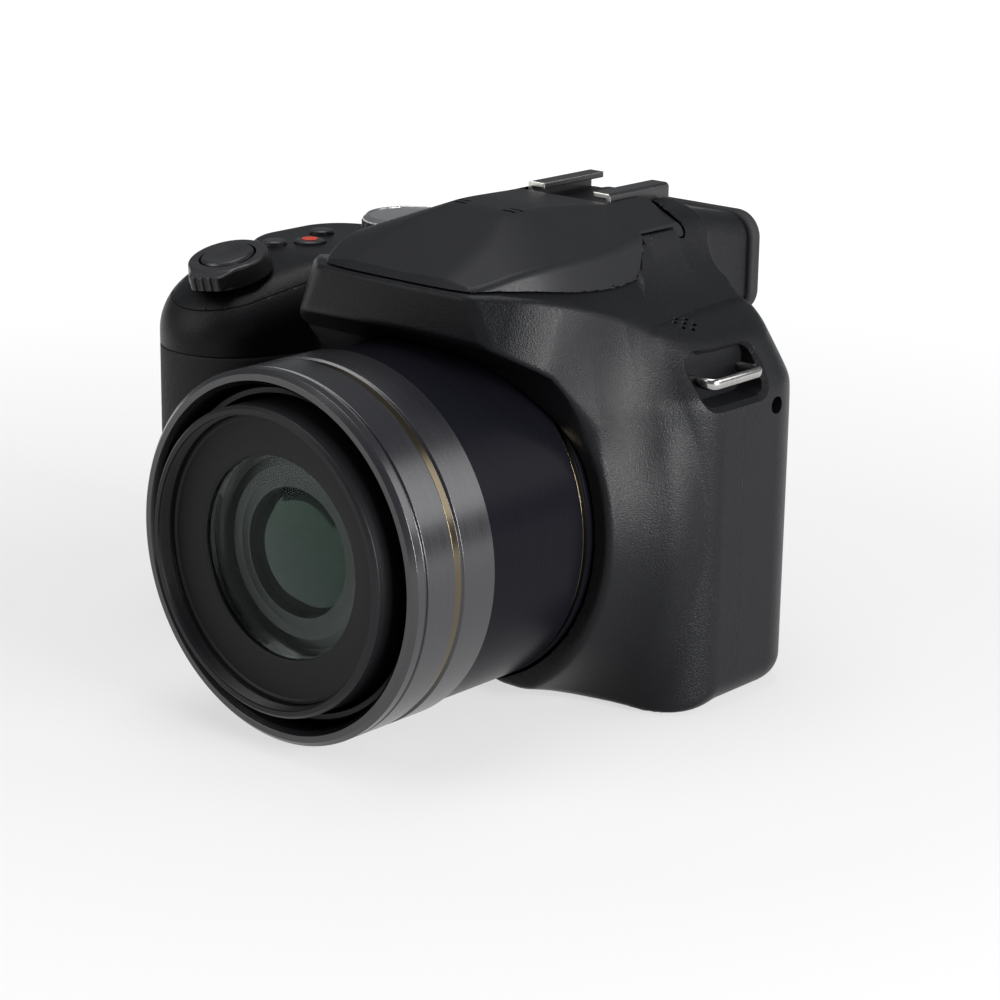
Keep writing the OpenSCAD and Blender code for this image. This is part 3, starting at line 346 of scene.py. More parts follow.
def moulded(name, form, *grid):
    """Skin of a solid given by a distance: each grid cell that the surface crosses gets the point that best
    fits the surface planes at its edges, and every crossed edge joins the four cells round it with a face."""
    grid = [line + shift for line, shift in zip(grid, grid_shift)]
    nodes = np.array([len(line) for line in grid])

    def at_node(index):
        """Place of each grid node given by its three indices."""
        return np.stack([line[k] for line, k in zip(grid, np.moveaxis(index, -1, 0))], -1)

    def slope(p):
        """Direction in which the distance grows, from four samples at the corners of a small tetrahedron."""
        arms = np.array(((1, -1, -1), (-1, -1, 1), (-1, 1, -1), (1, 1, 1.0)))
        return unit(sum(form(*(p + 0.004 * arm).T)[:, None] * arm for arm in arms), 1e-9)

    # the distance is worked out only in blocks of four cells that lie near the surface
    blocks = (nodes - 1) // 4
    mid = np.stack(np.meshgrid(*[np.arange(n) * 4 for n in blocks], indexing="ij"), -1).reshape(-1, 3)
    rough = form(*(at_node(mid + 2)).T)
    field = np.where(rough > 0, 9.0, -9.0).reshape(blocks).repeat(4, 0).repeat(4, 1).repeat(4, 2)
    field = np.pad(field, ((0, 1),) * 3, mode="edge")
    near = mid[np.abs(rough) < 0.7 * np.linalg.norm(at_node(mid + 4) - at_node(mid), axis=1)]
    corner = np.stack(np.meshgrid(*[np.arange(5)] * 3, indexing="ij"), -1).reshape(-1, 3)
    node_number = np.array((nodes[1] * nodes[2], nodes[2], 1))
    spots = np.unique((near[:, None] + corner[None]).reshape(-1, 3) @ node_number)
    spots = np.stack(np.unravel_index(spots, nodes), 1)
    field[tuple(spots.T)] = form(*at_node(spots).T)
    for axis in range(3):
        np.moveaxis(field, axis, 0)[[0, -1]] = 9.0
    solid = field < 0
    pull, faces = [], []
    # each crossed edge of the grid is searched for the point where the distance is nought
    for axis in range(3):
        line = np.eye(3, dtype=int)
        edge = np.argwhere(np.diff(solid, axis=axis))
        tip = edge + line[axis]
        outer = field[tuple(edge.T)] > 0
        near_end = at_node(np.where(outer[:, None], tip, edge))
        far_end = at_node(np.where(outer[:, None], edge, tip))
        v0, v1 = -np.abs(field[tuple(edge.T)]), np.abs(field[tuple(tip.T)])
        v0, v1 = np.where(outer, -v1, v0), np.where(outer, -v0, v1)
        for _ in range(4):
            cross = near_end + (far_end - near_end) * np.clip(v0 / (v0 - v1), 0.02, 0.98)[:, None]
            v = form(*cross.T)
            below = v < 0
            near_end = np.where(below[:, None], cross, near_end)
            far_end = np.where(below[:, None], far_end, cross)
            v0, v1 = np.where(below, v, v0), np.where(below, v1, v)
        one, two = line[(axis + 1) % 3], line[(axis + 2) % 3]
        ring = np.stack([edge - one - two, edge - two, edge, edge - one], 1)
        ring[outer] = ring[outer][:, ::-1]
        faces.append(np.ravel_multi_index(tuple(np.moveaxis(ring, 2, 0)), nodes))
        pull.append(cross)
    faces, pull = np.concatenate(faces), np.concatenate(pull)
    # the corner of each cell is the point that lies nearest to all the planes at its edges
    facing, pull = np.repeat(slope(pull), 4, 0), np.repeat(pull, 4, 0)
    used, at = np.unique(faces.ravel(), return_inverse=True)
    at = at.reshape(-1)
    count = np.bincount(at)[:, None]

    def total(w):
        """Sum of the rows of w that belong to each cell."""
        return np.stack([np.bincount(at, w[:, k], len(used)) for k in range(w.shape[1])], 1)

    centre = total(pull) / count
    gap = np.einsum("ij,ij->i", facing, pull - centre[at])
    spread = total((facing[:, :, None] * facing[:, None]).reshape(-1, 9)).reshape(-1, 3, 3)
    spread = spread + 0.02 * count[:, None] * np.eye(3)
    points = centre + np.linalg.solve(spread, total(facing * gap[:, None])[..., None])[..., 0]
    level = np.linalg.norm(total(facing), axis=1) / count[:, 0] > 0.96
    points[level] -= form(*points[level].T)[:, None] * slope(points[level])
    cells = np.stack(np.unravel_index(used, nodes), 1)
    points = np.clip(points, at_node(cells), at_node(cells + 1))

    # normals follow the distance where they agree with the face, and the face where they don't
    quads, own = at.reshape(-1, 4), slope(points)
    inward = 0.7 * points[quads] + 0.3 * points[quads].mean(1, keepdims=True)
    corner_slope = slope(inward.reshape(-1, 3))
    flat = np.cross(points[quads[:, 2]] - points[quads[:, 0]], points[quads[:, 3]] - points[quads[:, 1]])
    flat = np.repeat(unit(flat + 1e-6 * corner_slope.reshape(-1, 4, 3).mean(1), 1e-12), 4, 0)

    def agree(way):
        """Cosine between a normal and the face it belongs to."""
        return (way * flat).sum(1, keepdims=True)

    shade = np.where(agree(corner_slope) > 0.75, corner_slope, flat)
    shade = np.where(agree(own[at]) > 0.85, own[at], shade)
    mesh = bpy.data.meshes.new(name)
    mesh.vertices.add(len(points))
    mesh.vertices.foreach_set("co", (points * 0.001).astype(np.float32).ravel())
    mesh.loops.add(quads.size)
    mesh.loops.foreach_set("vertex_index", quads.astype(np.int32).ravel())
    mesh.polygons.add(len(quads))
    mesh.polygons.foreach_set("loop_start", np.arange(0, quads.size, 4, dtype=np.int32))
    mesh.polygons.foreach_set("use_smooth", np.ones(len(quads), bool))
    mesh.update(calc_edges=True)
    mesh.normals_split_custom_set(shade.tolist())
    return linked(name, mesh)

def blank(name):
    """New material, with its node tree, its surface shader and the place of a point on the piece."""
    made = bpy.data.materials.new(name)
    made.use_nodes = True
    tree = made.node_tree
    return made, tree, tree.nodes["Principled BSDF"], tree.nodes.new("ShaderNodeTexCoord").outputs["Object"]

def between(tree, share, low, high):
    """Colour that goes from one tint to another with a share."""
    mix = tree.nodes.new("ShaderNodeMix")
    mix.data_type = "RGBA"
    tree.links.new(share, mix.inputs["Factor"])
    mix.inputs["A"].default_value, mix.inputs["B"].default_value = (*low, 1), (*high, 1)
    return mix.outputs["Result"]

def textured(tree, skin, pattern, smooth, rough, strength, depth):
    """Lets a pattern vary the roughness between two values and raise the surface as bump."""
    gloss = wire(tree, "ShaderNodeMapRange", Value=pattern, From_Min=0.3, From_Max=0.7,
                 To_Min=smooth, To_Max=rough)
    tree.links.new(gloss, skin.inputs["Roughness"])
    bump = wire(tree, "ShaderNodeBump", Strength=strength, Distance=depth, Height=pattern)
    tree.links.new(bump, skin.inputs["Normal"])

def grained(name, tint, dark, rough, grain, depth, sheen=0.5):
    """Moulded plastic: two close tints in a soft cloud, a fine spark-eroded grain as bump, and gloss that
    varies a little with the grain."""
    made, tree, skin, place = blank(name)
    cloud = wire(tree, "ShaderNodeTexNoise", Vector=place, Scale=90.0, Detail=3.0)
    pits = wire(tree, "ShaderNodeTexNoise", Vector=place, Scale=grain, Detail=2.0, Roughness=0.6)
    tree.links.new(between(tree, cloud, dark, tint), skin.inputs["Base Color"])
    textured(tree, skin, pits, rough - 0.05, rough + 0.07, 1.0, depth)
    skin.inputs["Specular IOR Level"].default_value = sheen
    return made

def carry(piece, material, body, slot, *nodes):
    """Gives a piece its material and lets it ride on its body in place of the solids it dresses; its slot is
    not used."""
    piece.data.materials.append(material)
    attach(piece, body)
    if nodes:
        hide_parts(*nodes)

body_tint, body_shade = (0.0064, 0.0066, 0.0078), (0.0045, 0.0047, 0.0055)
body_plastic = grained("body_plastic", body_tint, body_shade, 0.34, 3400.0, 0.0001, 0.15)
front_cover = moulded("front_cover_moulding", front_cover_form,
                      spaced(-84, 1.0, 24, 0.6, 32, 0.3, 38.6, 0.45, 48),
                      spaced(-56, 0.7, -17.5, 0.35, -6.9, 0.7, -4.9),
                      spaced(-1.5, 1.25, 57, 0.5, 76.5, 0.6, 90))
carry(front_cover, body_plastic, "camera", "cover", "front_cover")

# Rear cover: the second moulding of the body, with the back wall, the eyepiece box and the bed of the
# accessory shoe. It meets the front cover in a fine joint over the shoulders and down the sides.
back_keys = {"viewfinder_button": (-31, 63), "lock_button": (-44, 60), "playback_button": (-40, 51),
             "display_button": (-39, 16), "quick_menu_button": (-58, 16), "flash_button": (28, 64)}
pad_x, pad_z = -49, 34
dioptre_y, dioptre_z = 16, 79.2
hinge_y, hinge_z, ear_x = 5.5, 87.5, 16

def rear_cover_form(x, y, z):
    """Cover behind the joint, with the openings of the lid's arms and ears, the eyepiece, the monitor, the
    keys, the dials, the side door and the small hole behind the strap lug cut out."""
    cover = np.maximum(cover_form(x, y, z), joint_y - y)
    ax = np.abs(x)
    arm_room = np.hypot(y - hinge_y, z - hinge_z) - shoe_side(x) + 87.0
    arm_room = np.minimum(arm_room, np.maximum(y - 6.4, 88.1 - z))
    ear_room = np.maximum(np.maximum(np.abs(ax - ear_x) - 2.9, y - 9.7), np.maximum(83.3 - z, z - 88.4))
    holes = np.hypot(x - pad_x, z - pad_z) - 11.3
    for key_x, key_z in back_keys.values():
        holes = np.minimum(holes, np.hypot(x - key_x, z - key_z) - 3.3)
    cut = np.minimum.reduce([
        np.maximum(np.maximum(shoe_half - ax, ax - 26.0), arm_room),
        ear_room,
        np.maximum(plan_box(x, z, -12.2, 12.2, 70, 84.4, 2.0), 20 - y),
        np.maximum(plan_box(x, z, -33.2, 36.2, 8.8, 59.2, 2.2), 16 - y),
        np.maximum(plan_box(x, z, -31.3, 34.3, 10.7, 57.3, 1.0), 10 - y),
        np.maximum(holes, 10 - y),
        np.maximum(plan_box(x, z, -73, -55, 65.1, 69.9, 0.6), 12 - y),
        np.maximum(np.hypot(y - dioptre_y, z - dioptre_z) - 4.8, np.maximum(x + 15, -23.2 - x)),
        np.maximum(plan_box(y, z, -4.9, 7.3, 27.7, 56.3, 0.5), x + 77.2),
        np.maximum(np.hypot(y - 4.7, z - 57.5) - 1.7, 43 - x)])
    return np.maximum(cover, -cut)

rear_cover = moulded("rear_cover_moulding", rear_cover_form,
                     spaced(-84, 0.75, 10, 0.6, 48),
                     spaced(-6.5, 0.65, 30.5),
                     spaced(-1.5, 0.8, 57, 0.55, 92))
carry(rear_cover, body_plastic, "camera", "cover", "rear_cover")

# Control deck: a separate moulding let into the top of the grip side, which carries the shutter
# button, the dials and the small keys. Its edge shows as a fine line round the grip.
shutter_x, shutter_y, shutter_z = -64.0, -33.0, 71.52
mode_x, mode_y = -49.9, 5.0
deck_keys = {"movie_button": (-64.2, -10.1, 3.2), "burst_button": (-68.6, -16.2, 2.4),
             "function_button": (-69.5, -1.2, 2.4)}

def deck_form(x, y, z):
    """Top three millimetres of the grip side, with the holes of its keys and dial and the slot of the power
    switch, and a thicker round seat under the shutter button."""
    deck = np.maximum(body_form(x, y, z), np.maximum(deck_height(y) - 2.85 - z, x + 33.6))
    for key_x, key_y, key_r in deck_keys.values():
        deck = np.maximum(deck, key_r + 0.3 - np.hypot(x - key_x, y - key_y))
    deck = np.maximum(deck, -plan_box(x, y, -38, -35.4, -1.8, 5.8, 0.3))
    deck = np.maximum(deck, 3.05 - np.hypot(x - mode_x, y - mode_y))
    tilt = (z - shutter_z) * 0.966 + (y - shutter_y) * -0.259
    reach = np.hypot(x - shutter_x, (y - shutter_y) * 0.966 + (z - shutter_z) * 0.259)
    deck = np.minimum(deck, np.maximum(reach - 5.95, np.abs(tilt) - 1.6))
    return np.maximum(deck, 2.5 - reach)

top_deck = moulded("top_deck_moulding", deck_form,
                   spaced(-84, 0.5, -32.9), spaced(-47, 0.5, 18), spaced(59, 0.4, 78))
carry(top_deck, body_plastic, "camera", "deck", "top_deck")

# Grip skin: a sheet of dark moulded rubber round the front of the grip.
# It is bonded into a shallow bed of the front cover.
def grip_skin_form(x, y, z):
    """Outer 1.2 mm of the grip inside the skin's outline, its edges rounded."""
    body = body_form(x, y, z)
    return np.maximum(round_meet(body, skin_zone(x, y, z), 0.5), -1.2 - body)

rubber_tint, rubber_shade = (0.015, 0.015, 0.016), (0.010, 0.010, 0.011)
grip_rubber = grained("grip_rubber", rubber_tint, rubber_shade, 0.62, 1500.0, 0.00008, 0.25)
grip_skin = moulded("grip_skin_rubber", grip_skin_form,
                    spaced(-84, 0.6, -39), spaced(-47, 0.6, -7), spaced(4, 0.6, 58))
carry(grip_skin, grip_rubber, "camera", "skin", "grip_skin")

# Flash lid: a separate moulding over the hump with a flat matte panel down its middle, two pairs of
# microphone slots on its crest and two arms that reach back to the hinge beside the shoe.
lid_front, crest_z, lid_gap = -53.9, 94.0, 0.35

def lid_top(x, y):
    """Upper face of the lid: the lowest of the sloping front panel, the crest and the four side facets."""
    front = 84.7 + 0.385 * (y - plate_front)
    crest = crest_z - 0.07 * ramp(y + 20.0, 2.0)
    facet = front + 0.6 * (1.85 - 0.29 * np.abs(x) - 0.036 * y)
    return round_union(round_union(front, crest, 1.2), round_union(facet, shoe_side(x), 3.0), 0.4)

def lid_form(x, y, z):
    """Cap between its leaning side walls and its upper face, hollow below, with two arms that end round
    the hinge and a pair of slots on each side of the crest."""
    ax = np.abs(x)
    brow = 0.94 * (lid_front - y + brow_curve * x * x + 0.35 * (z - 84.0))
    walls = round_meet(0.96 * (ax - lid_reach(y) + 0.29 * (z - 82.5)), brow, 3.0)
    top = 0.9 * (z - lid_top(x, y))
    cap = np.maximum(round_meet(walls, top, 0.9), np.maximum(0.707 * (brow + top + 1.5), y + 4.4))
    cap = np.maximum(cap, np.maximum(0.8 * (rim_height(x, y) + lid_gap - z), 0.53 * (fairing(y) + 0.6 - z)))
    cap = np.maximum(cap, -np.maximum(np.maximum(walls + 1.6, top + 1.5), y + 6.0))
    from_hinge = np.hypot(y - hinge_y, z - hinge_z)
    arm = np.maximum(np.maximum(0.92 * (z - shoe_side(x)), 88.45 - z), np.maximum(y - hinge_y, -9.0 - y))
    arm = np.minimum(arm, from_hinge - shoe_side(x) + hinge_z)
    arm = np.maximum(arm, np.maximum(11.25 - ax, 0.834 * (ax - 24.0) + 0.552 * (z - 83.5)))
    ear = np.maximum(np.abs(ax - ear_x) - 2.5, np.maximum(from_hinge - 2.6, z - 89))
    cap = np.minimum(cap, np.minimum(arm, ear))
    slant = ax - 0.25 * (y + 27)
    slots = np.minimum(plan_box(slant, y, 4.6, 8.0, -28.0, -27.3, 0.3),
                       plan_box(slant, y, 4.6, 8.0, -26.2, -25.5, 0.3))
    return np.maximum(cap, -np.maximum(slots, 92.9 - z))

lid_tint, lid_shade = (0.0105, 0.0108, 0.0122), (0.0080, 0.0082, 0.0093)
lid_plastic = grained("lid_plastic", lid_tint, lid_shade, 0.42, 3000.0, 0.000014, 0.15)
flash_lid = moulded("flash_lid_moulding", lid_form,
                    spaced(-28, 0.4, 28), spaced(-55.5, 0.4, 9.5), spaced(79, 0.4, 83.4, 0.22, 85.8, 0.4, 95))
carry(flash_lid, lid_plastic, "flash_lid", "lid", "flash_lid")

# Outer barrel and front ring: two tubes of black-anodised aluminium, turned and polished. The barrel is
# screwed to the chassis; the ring threads onto its front and carries two fine grooves.
def soften(points, radius, arc=5):
    """Closed outline with every corner replaced by a small arc that touches both sides; returns the points
    and their outward normals."""
    p = np.asarray(points, float)
    back, ahead = np.roll(p, 1, 0) - p, np.roll(p, -1, 0) - p
    back_len = np.linalg.norm(back, axis=1, keepdims=True)
    ahead_len = np.linalg.norm(ahead, axis=1, keepdims=True)
    back, ahead = back / back_len, ahead / ahead_len
    half = 0.5 * np.arccos(np.clip((back * ahead).sum(1, keepdims=True), -0.99999, 0.99999))
    reach = np.minimum(np.reshape(radius, (-1, 1)) / np.tan(half), 0.48 * np.minimum(back_len, ahead_len))
    into, out_of = np.stack([-back[:, 1], back[:, 0]], 1), np.stack([ahead[:, 1], -ahead[:, 0]], 1)
    bend = into[:, 0] * out_of[:, 1] - into[:, 1] * out_of[:, 0]
    turn = np.arctan2(bend, (into * out_of).sum(1))[:, None]
    angle = np.arctan2(into[:, 1:], into[:, :1]) + turn * np.linspace(0, 1, arc)[None]
    normal = np.stack([np.cos(angle), np.sin(angle)], -1)
    r = reach * np.tan(half) * np.sign(turn)
    centre = p + back * reach - into * r
    return centre[:, None] + r[..., None] * normal, normal

def turned(name, outline, radius, origin, axis, first, segments=192, ripple=None, core=None):
    """Outline of radius and height, its corners softened, carried round an axis, or round a rectangle for a
    core of two half widths. An outline that starts and ends on the axis is closed by a pole at each end, and
    a ripple adds to the radius by angle and row."""
    poles = outline[0][0] == 0
    radius = np.broadcast_to(np.asarray(radius, float), len(outline)).copy()
    if poles:
        radius[[0, -1]] = 1e-6
    row, normal = soften(outline, radius)
    if poles:
        row, normal = row[1:-1], normal[1:-1]
    row, normal = row.reshape(-1, 2), normal.reshape(-1, 2)
    axis, first, origin = np.asarray(axis, float), np.asarray(first, float), np.asarray(origin, float)
    second = np.cross(axis, first)
    if core:
        turn = np.concatenate([np.linspace(q, q + 1, segments // 4) for q in range(4)]) * np.pi / 2
        side = np.repeat([(1, 1), (-1, 1), (-1, -1), (1, -1)], segments // 4, 0) * np.asarray(core)
        base = side[:, :1] * first + side[:, 1:] * second
    else:
        turn = np.linspace(0, 2 * np.pi, segments, endpoint=False)
        base = np.zeros((len(turn), 3))
    out = np.cos(turn)[:, None] * first + np.sin(turn)[:, None] * second
    r = row[:, :1] * np.ones(len(turn))
    if ripple is not None:
        r = r + ripple(row, turn)
    n, m = r.shape
    points = (origin + base + r[..., None] * out + row[:, 1][:, None, None] * axis).reshape(-1, 3)
    facing = (normal[:, :1, None] * out + normal[:, 1][:, None, None] * axis).reshape(-1, 3)
    i, j = np.meshgrid(np.arange(n - 1 if poles else n), np.arange(m), indexing="ij")
    i2, j2 = (i + 1) % n, (j + 1) % m
    faces = np.stack([i * m + j, i * m + j2, i2 * m + j2, i2 * m + j], -1).reshape(-1, 4).tolist()
    if poles:
        tips = origin + np.array([[outline[0][1]], [outline[-1][1]]]) * axis
        points, facing = np.concatenate([points, tips]), np.concatenate([facing, [-axis, axis]])
        k, k2 = np.arange(m), np.roll(np.arange(m), -1)
        faces += np.stack([np.full(m, n * m), k2, k], 1).tolist()
        faces += np.stack([np.full(m, n * m + 1), (n - 1) * m + k, (n - 1) * m + k2], 1).tolist()
    mesh = bpy.data.meshes.new(name)
    mesh.from_pydata((points * 0.001).tolist(), [], faces)
    mesh.polygons.foreach_set("use_smooth", np.ones(len(faces), bool))
    mesh.update()
    if ripple is None:
        mesh.normals_split_custom_set_from_vertices(facing.tolist())
    return linked(name, mesh)

def anodised(name, tint, rough, shine, lines=9000.0, metal=0.0):
    """Turned metal: fine rings round the lens axis change its shade, its gloss and its surface a little."""
    made, tree, skin, place = blank(name)
    drawn = wire(tree, "ShaderNodeMapping", Vector=place, Scale=(8.0, lines, 8.0))
    rings = wire(tree, "ShaderNodeTexNoise", Vector=drawn, Scale=1.0, Detail=3.0)
    shade = between(tree, rings, np.multiply(tint, 0.75), np.multiply(tint, 1.25))
    tree.links.new(shade, skin.inputs["Base Color"])
    textured(tree, skin, rings, rough - 0.03, rough + 0.05, 0.1, 0.00001)
    skin.inputs["Metallic"].default_value = metal
    skin.inputs["Specular IOR Level"].default_value = shine
    return made

lens_axis = dict(origin=(0, 0, lens_z), axis=(0, -1, 0), first=(1, 0, 0))
barrel_bore, barrel_groove, barrel_r = 32.3, 34.1, 34.5
barrel_outline = [(barrel_bore, 10), (barrel_r, 10), (barrel_r, 35.8), (barrel_groove, 36.1),
                  (barrel_groove, 37.4), (barrel_r, 37.7), (barrel_r, 62.6), (barrel_bore, 62.6)]
outer_barrel = turned("outer_barrel_tube", barrel_outline, 0.12, segments=256, **lens_axis)
black_anodised = anodised("black_anodised", (0.004, 0.004, 0.006), 0.28, 0.05)
carry(outer_barrel, black_anodised, "camera", "barrel", "outer_barrel")
ring_groove, ring_line_r, ring_r = 34.7, 34.8, 35.2
ring_outline = [(barrel_bore, 62.8), (ring_groove, 62.8), (ring_r, 63.2), (ring_r, 71.2), (ring_groove, 71.5),
                (ring_groove, 73.35), (ring_r, 73.65), (ring_r, 80.6), (ring_line_r, 80.8),
                (ring_line_r, 81.2), (ring_r, 81.4), (ring_r, 83.1), (34.3, 84), (33.1, 84),
                (barrel_bore, 83)]
front_ring = turned("front_ring_turned", ring_outline, 0.12, segments=256, **lens_axis)
bright_anodised = anodised("bright_anodised", (0.007, 0.007, 0.009), 0.24, 0.85)
carry(front_ring, bright_anodised, "camera", "barrel", "front_ring")

# Bright lines: two thin rings of polished bronze-coloured metal.
# They are pressed into the grooves of the barrel and of the front ring.
bronze = anodised("bronze_line", (0.13, 0.108, 0.075), 0.18, 0.5, metal=1.0)
for line_name, inner_r, outer_r, rear, front in (("barrel_line", 33.9, 34.22, 36.2, 37.3),
                                                 ("ring_line", 34.5, 34.82, 71.6, 73.25)):
    line_outline = [(inner_r, rear), (outer_r, rear), (outer_r, front), (inner_r, front)]
    bright_line = turned(line_name, line_outline, 0.08, segments=256, **lens_axis)
    carry(bright_line, bronze, "camera", "barrel")

# Zoom barrel and front barrel: two thinner tubes that slide out of the outer barrel one inside the
# other when the lens zooms. The mouth of the front one is threaded for a filter.
zoom_outline = [(30, 12), (31.9, 12), (31.9, 17), (31.5, 17.4), (31.5, 79), (31.1, 79.5), (30, 79.5)]
zoom_barrel = turned("zoom_barrel_tube", zoom_outline, 0.15, segments=224, **lens_axis)
satin_black = anodised("satin_black", (0.006, 0.006, 0.007), 0.36, 0.25)
carry(zoom_barrel, satin_black, "zoom_barrel", "inner_barrel", "zoom_barrel")
thread_r, thread_depth, thread_start, half_pitch = 27.5, 0.24, 86.7, 0.2
thread = [(thread_r - thread_depth * (k % 2), thread_start - half_pitch * k) for k in range(13)]
front_tube = [(27.2, 16), (29.65, 16), (29.65, 21), (29.06, 21.5), (29.06, 86.5), (28.46, 87.1), (27.6, 87.1)]
front_softness = [0.15] * 6 + [0.1] + [0.03] * 15
front_barrel = turned("front_barrel_tube", front_tube + thread + [(thread_r, 83.95), (27.2, 83.95)],
                      front_softness, segments=224, **lens_axis)
carry(front_barrel, satin_black, "front_barrel", "inner_barrel", "front_barrel")

# Lens cell and name ring: the black-painted metal cell that holds the glass, stepped against stray light,
# and the flat ring that is screwed in before it.
cell_steps = [(20.05 - 1.9 * k, 77.0 - 0.22 * (k % 2)) for k in range(1, 5)]
cell_outline = [(12.2, 68.1), (27.1, 68.1), (27.1, 81.8), (20.2, 81.8), (20.2, 77.05)] + cell_steps
lens_cell = turned("lens_cell_turned", cell_outline + [(12.2, 77.0)], 0.1, segments=192, **lens_axis)
cell_black = anodised("cell_black", (0.006, 0.006, 0.0065), 0.36, 0.45, 4000.0)
carry(lens_cell, cell_black, "front_barrel", "cell", "lens_cell")
name_outline = [(19.2, 81.95), (27.1, 81.95), (27.1, 83.85), (26.5, 83.85), (26.1, 83.55), (19.9, 82.75),
                (19.2, 82.5)]
name_ring = turned("name_ring_turned", name_outline, 0.12, segments=192, **lens_axis)
flat_black = anodised("flat_black", (0.006, 0.006, 0.0065), 0.55, 0.25, 4000.0)
carry(name_ring, flat_black, "front_barrel", "name", "name_ring")

# Lens glass: a ground front element with a shallow dome and a smaller one behind it.
# Both are coated against reflections and held in the cell. The smaller one is opaque and near black: painted
# shade for the dark inside of the lens behind it.
def coated(name, tint, film, bend, clear=1.0):
    """Glass with a coating that keeps its reflections weak and tints them, a little unevenly."""
    made, tree, skin, place = blank(name)
    cloud = wire(tree, "ShaderNodeTexNoise", Vector=place, Scale=60.0, Detail=1.0)
    tree.links.new(between(tree, cloud, film, (0.7, 0.75, 0.8)), skin.inputs["Specular Tint"])
    skin.inputs["Base Color"].default_value = (*tint, 1)
    skin.inputs["Roughness"].default_value = 0.01
    skin.inputs["IOR"].default_value = bend
    skin.inputs["Transmission Weight"].default_value = clear
    return made

front_dome = [(r, 83.2 - r * r / 242.0) for r in (17.5, 15, 12.5, 10, 7.5, 5, 2.5)]
front_element = [(0, 77.15), (20.0, 77.15), (20.0, 79.0), (19.05, 81.7)] + front_dome + [(0, 83.2)]
front_glass = turned("front_element", front_element, [0.1] * 4 + [60.0] * 8, segments=128, **lens_axis)
front_coating = coated("front_coating", (0.75, 0.80, 0.77), (0.6, 0.8, 0.7), 1.12)
carry(front_glass, front_coating, "front_barrel", "lens_glass", "front_glass")
second_dome = [(r, 76.3 - r * r / 150.0) for r in (8, 6, 4, 2)]
second_element = [(0, 70.15), (12.1, 70.15), (12.1, 74.9), (9.5, 75.7)] + second_dome + [(0, 76.3)]
second_glass = turned("second_element", second_element, [0.1] * 4 + [60.0] * 5, segments=96, **lens_axis)
# opaque near-black glass: painted shade for the dark inside of the lens; only its tinted coating reflects
second_coating_painted_shade = coated("second_coating_painted_shade", (0.004, 0.006, 0.005), (0.45, 0.9, 0.65), 1.42, 0.0)
carry(second_glass, second_coating_painted_shade, "front_barrel", "lens_glass", "second_glass")

# Accessory shoe: a folded steel channel in black paint, screwed down on its bed; its cut front ends show
# bare metal. A thin plate with the contacts lies between the rails.
def shoe_form(x, y, z):
    """Floor, two upright walls and the two lips that turn inwards, with rounded folds."""
    ax = np.abs(x)
    outside = round_meet(round_meet(ax - 10.5, z - 94.3, 0.9), 90.0 - z, 0.1)
    inside = round_meet(np.maximum(ax - 9.35, z - 93.15), 90.6 - z, 0.25)
    channel = np.maximum(np.maximum(outside, -inside), -np.maximum(ax - 6.25, 90.6 - z))
    return round_meet(channel, np.maximum(-2.6 - y, y - 15.9), 0.15)

def painted(name, tint, rough, bare, edge):
    """Black paint with a faint mottle that gives way to bare bright metal in front of a given y."""
    made = grained(name, tint, np.multiply(tint, 0.7), rough, 2200.0, 0.00002, 0.5)
    tree = made.node_tree
    skin = tree.nodes["Principled BSDF"]
    place = tree.nodes.new("ShaderNodeTexCoord").outputs["Object"]
    y = wire(tree, "ShaderNodeSeparateXYZ", 1, Vector=place)
    worn = wire(tree, "ShaderNodeTexNoise", Vector=place, Scale=900.0, Detail=2.0)
    worn = wire(tree, "ShaderNodeMapRange", Value=worn, To_Min=edge - 0.0001, To_Max=edge + 0.0001)
    metal = wire(tree, "ShaderNodeMath", i0=y, i1=worn)
    metal.node.operation = "LESS_THAN"
    mixed = between(tree, metal, (0, 0, 0), bare)
    tree.links.new(skin.inputs["Base Color"].links[0].from_socket, mixed.node.inputs["A"])
    tree.links.new(mixed, skin.inputs["Base Color"])
    tree.links.new(metal, skin.inputs["Metallic"])
    return made

shoe_rails = moulded("shoe_channel", shoe_form,
                     spaced(-11.2, 0.24, 11.2), spaced(-3.3, 0.24, 16.6), spaced(89.4, 0.24, 95.0))
shoe_paint = painted("shoe_paint", (0.012, 0.012, 0.013), 0.3, (0.75, 0.73, 0.68), -0.00252)
carry(shoe_rails, shoe_paint, "camera", "rail", "shoe_rails")
upright = dict(axis=(0, 0, 1), first=(1, 0, 0))
plate_outline = [(0, 90.6), (1.0, 90.6), (1.0, 91.1), (0, 91.1)]
shoe_base = turned("shoe_contact_plate", plate_outline, 0.12, (0, 7.8, 0), segments=48,
                   core=(8.05, 6.8), **upright)
carry(shoe_base, body_plastic, "camera", "control", "shoe_base")

# Strap lugs: a bar of polished stainless steel on each side, bent to a staple.
# Its two legs are let into the floor of a pocket in the covers.
lug_height, lug_front, lug_rear = 0.0648, -14.6, 0.6

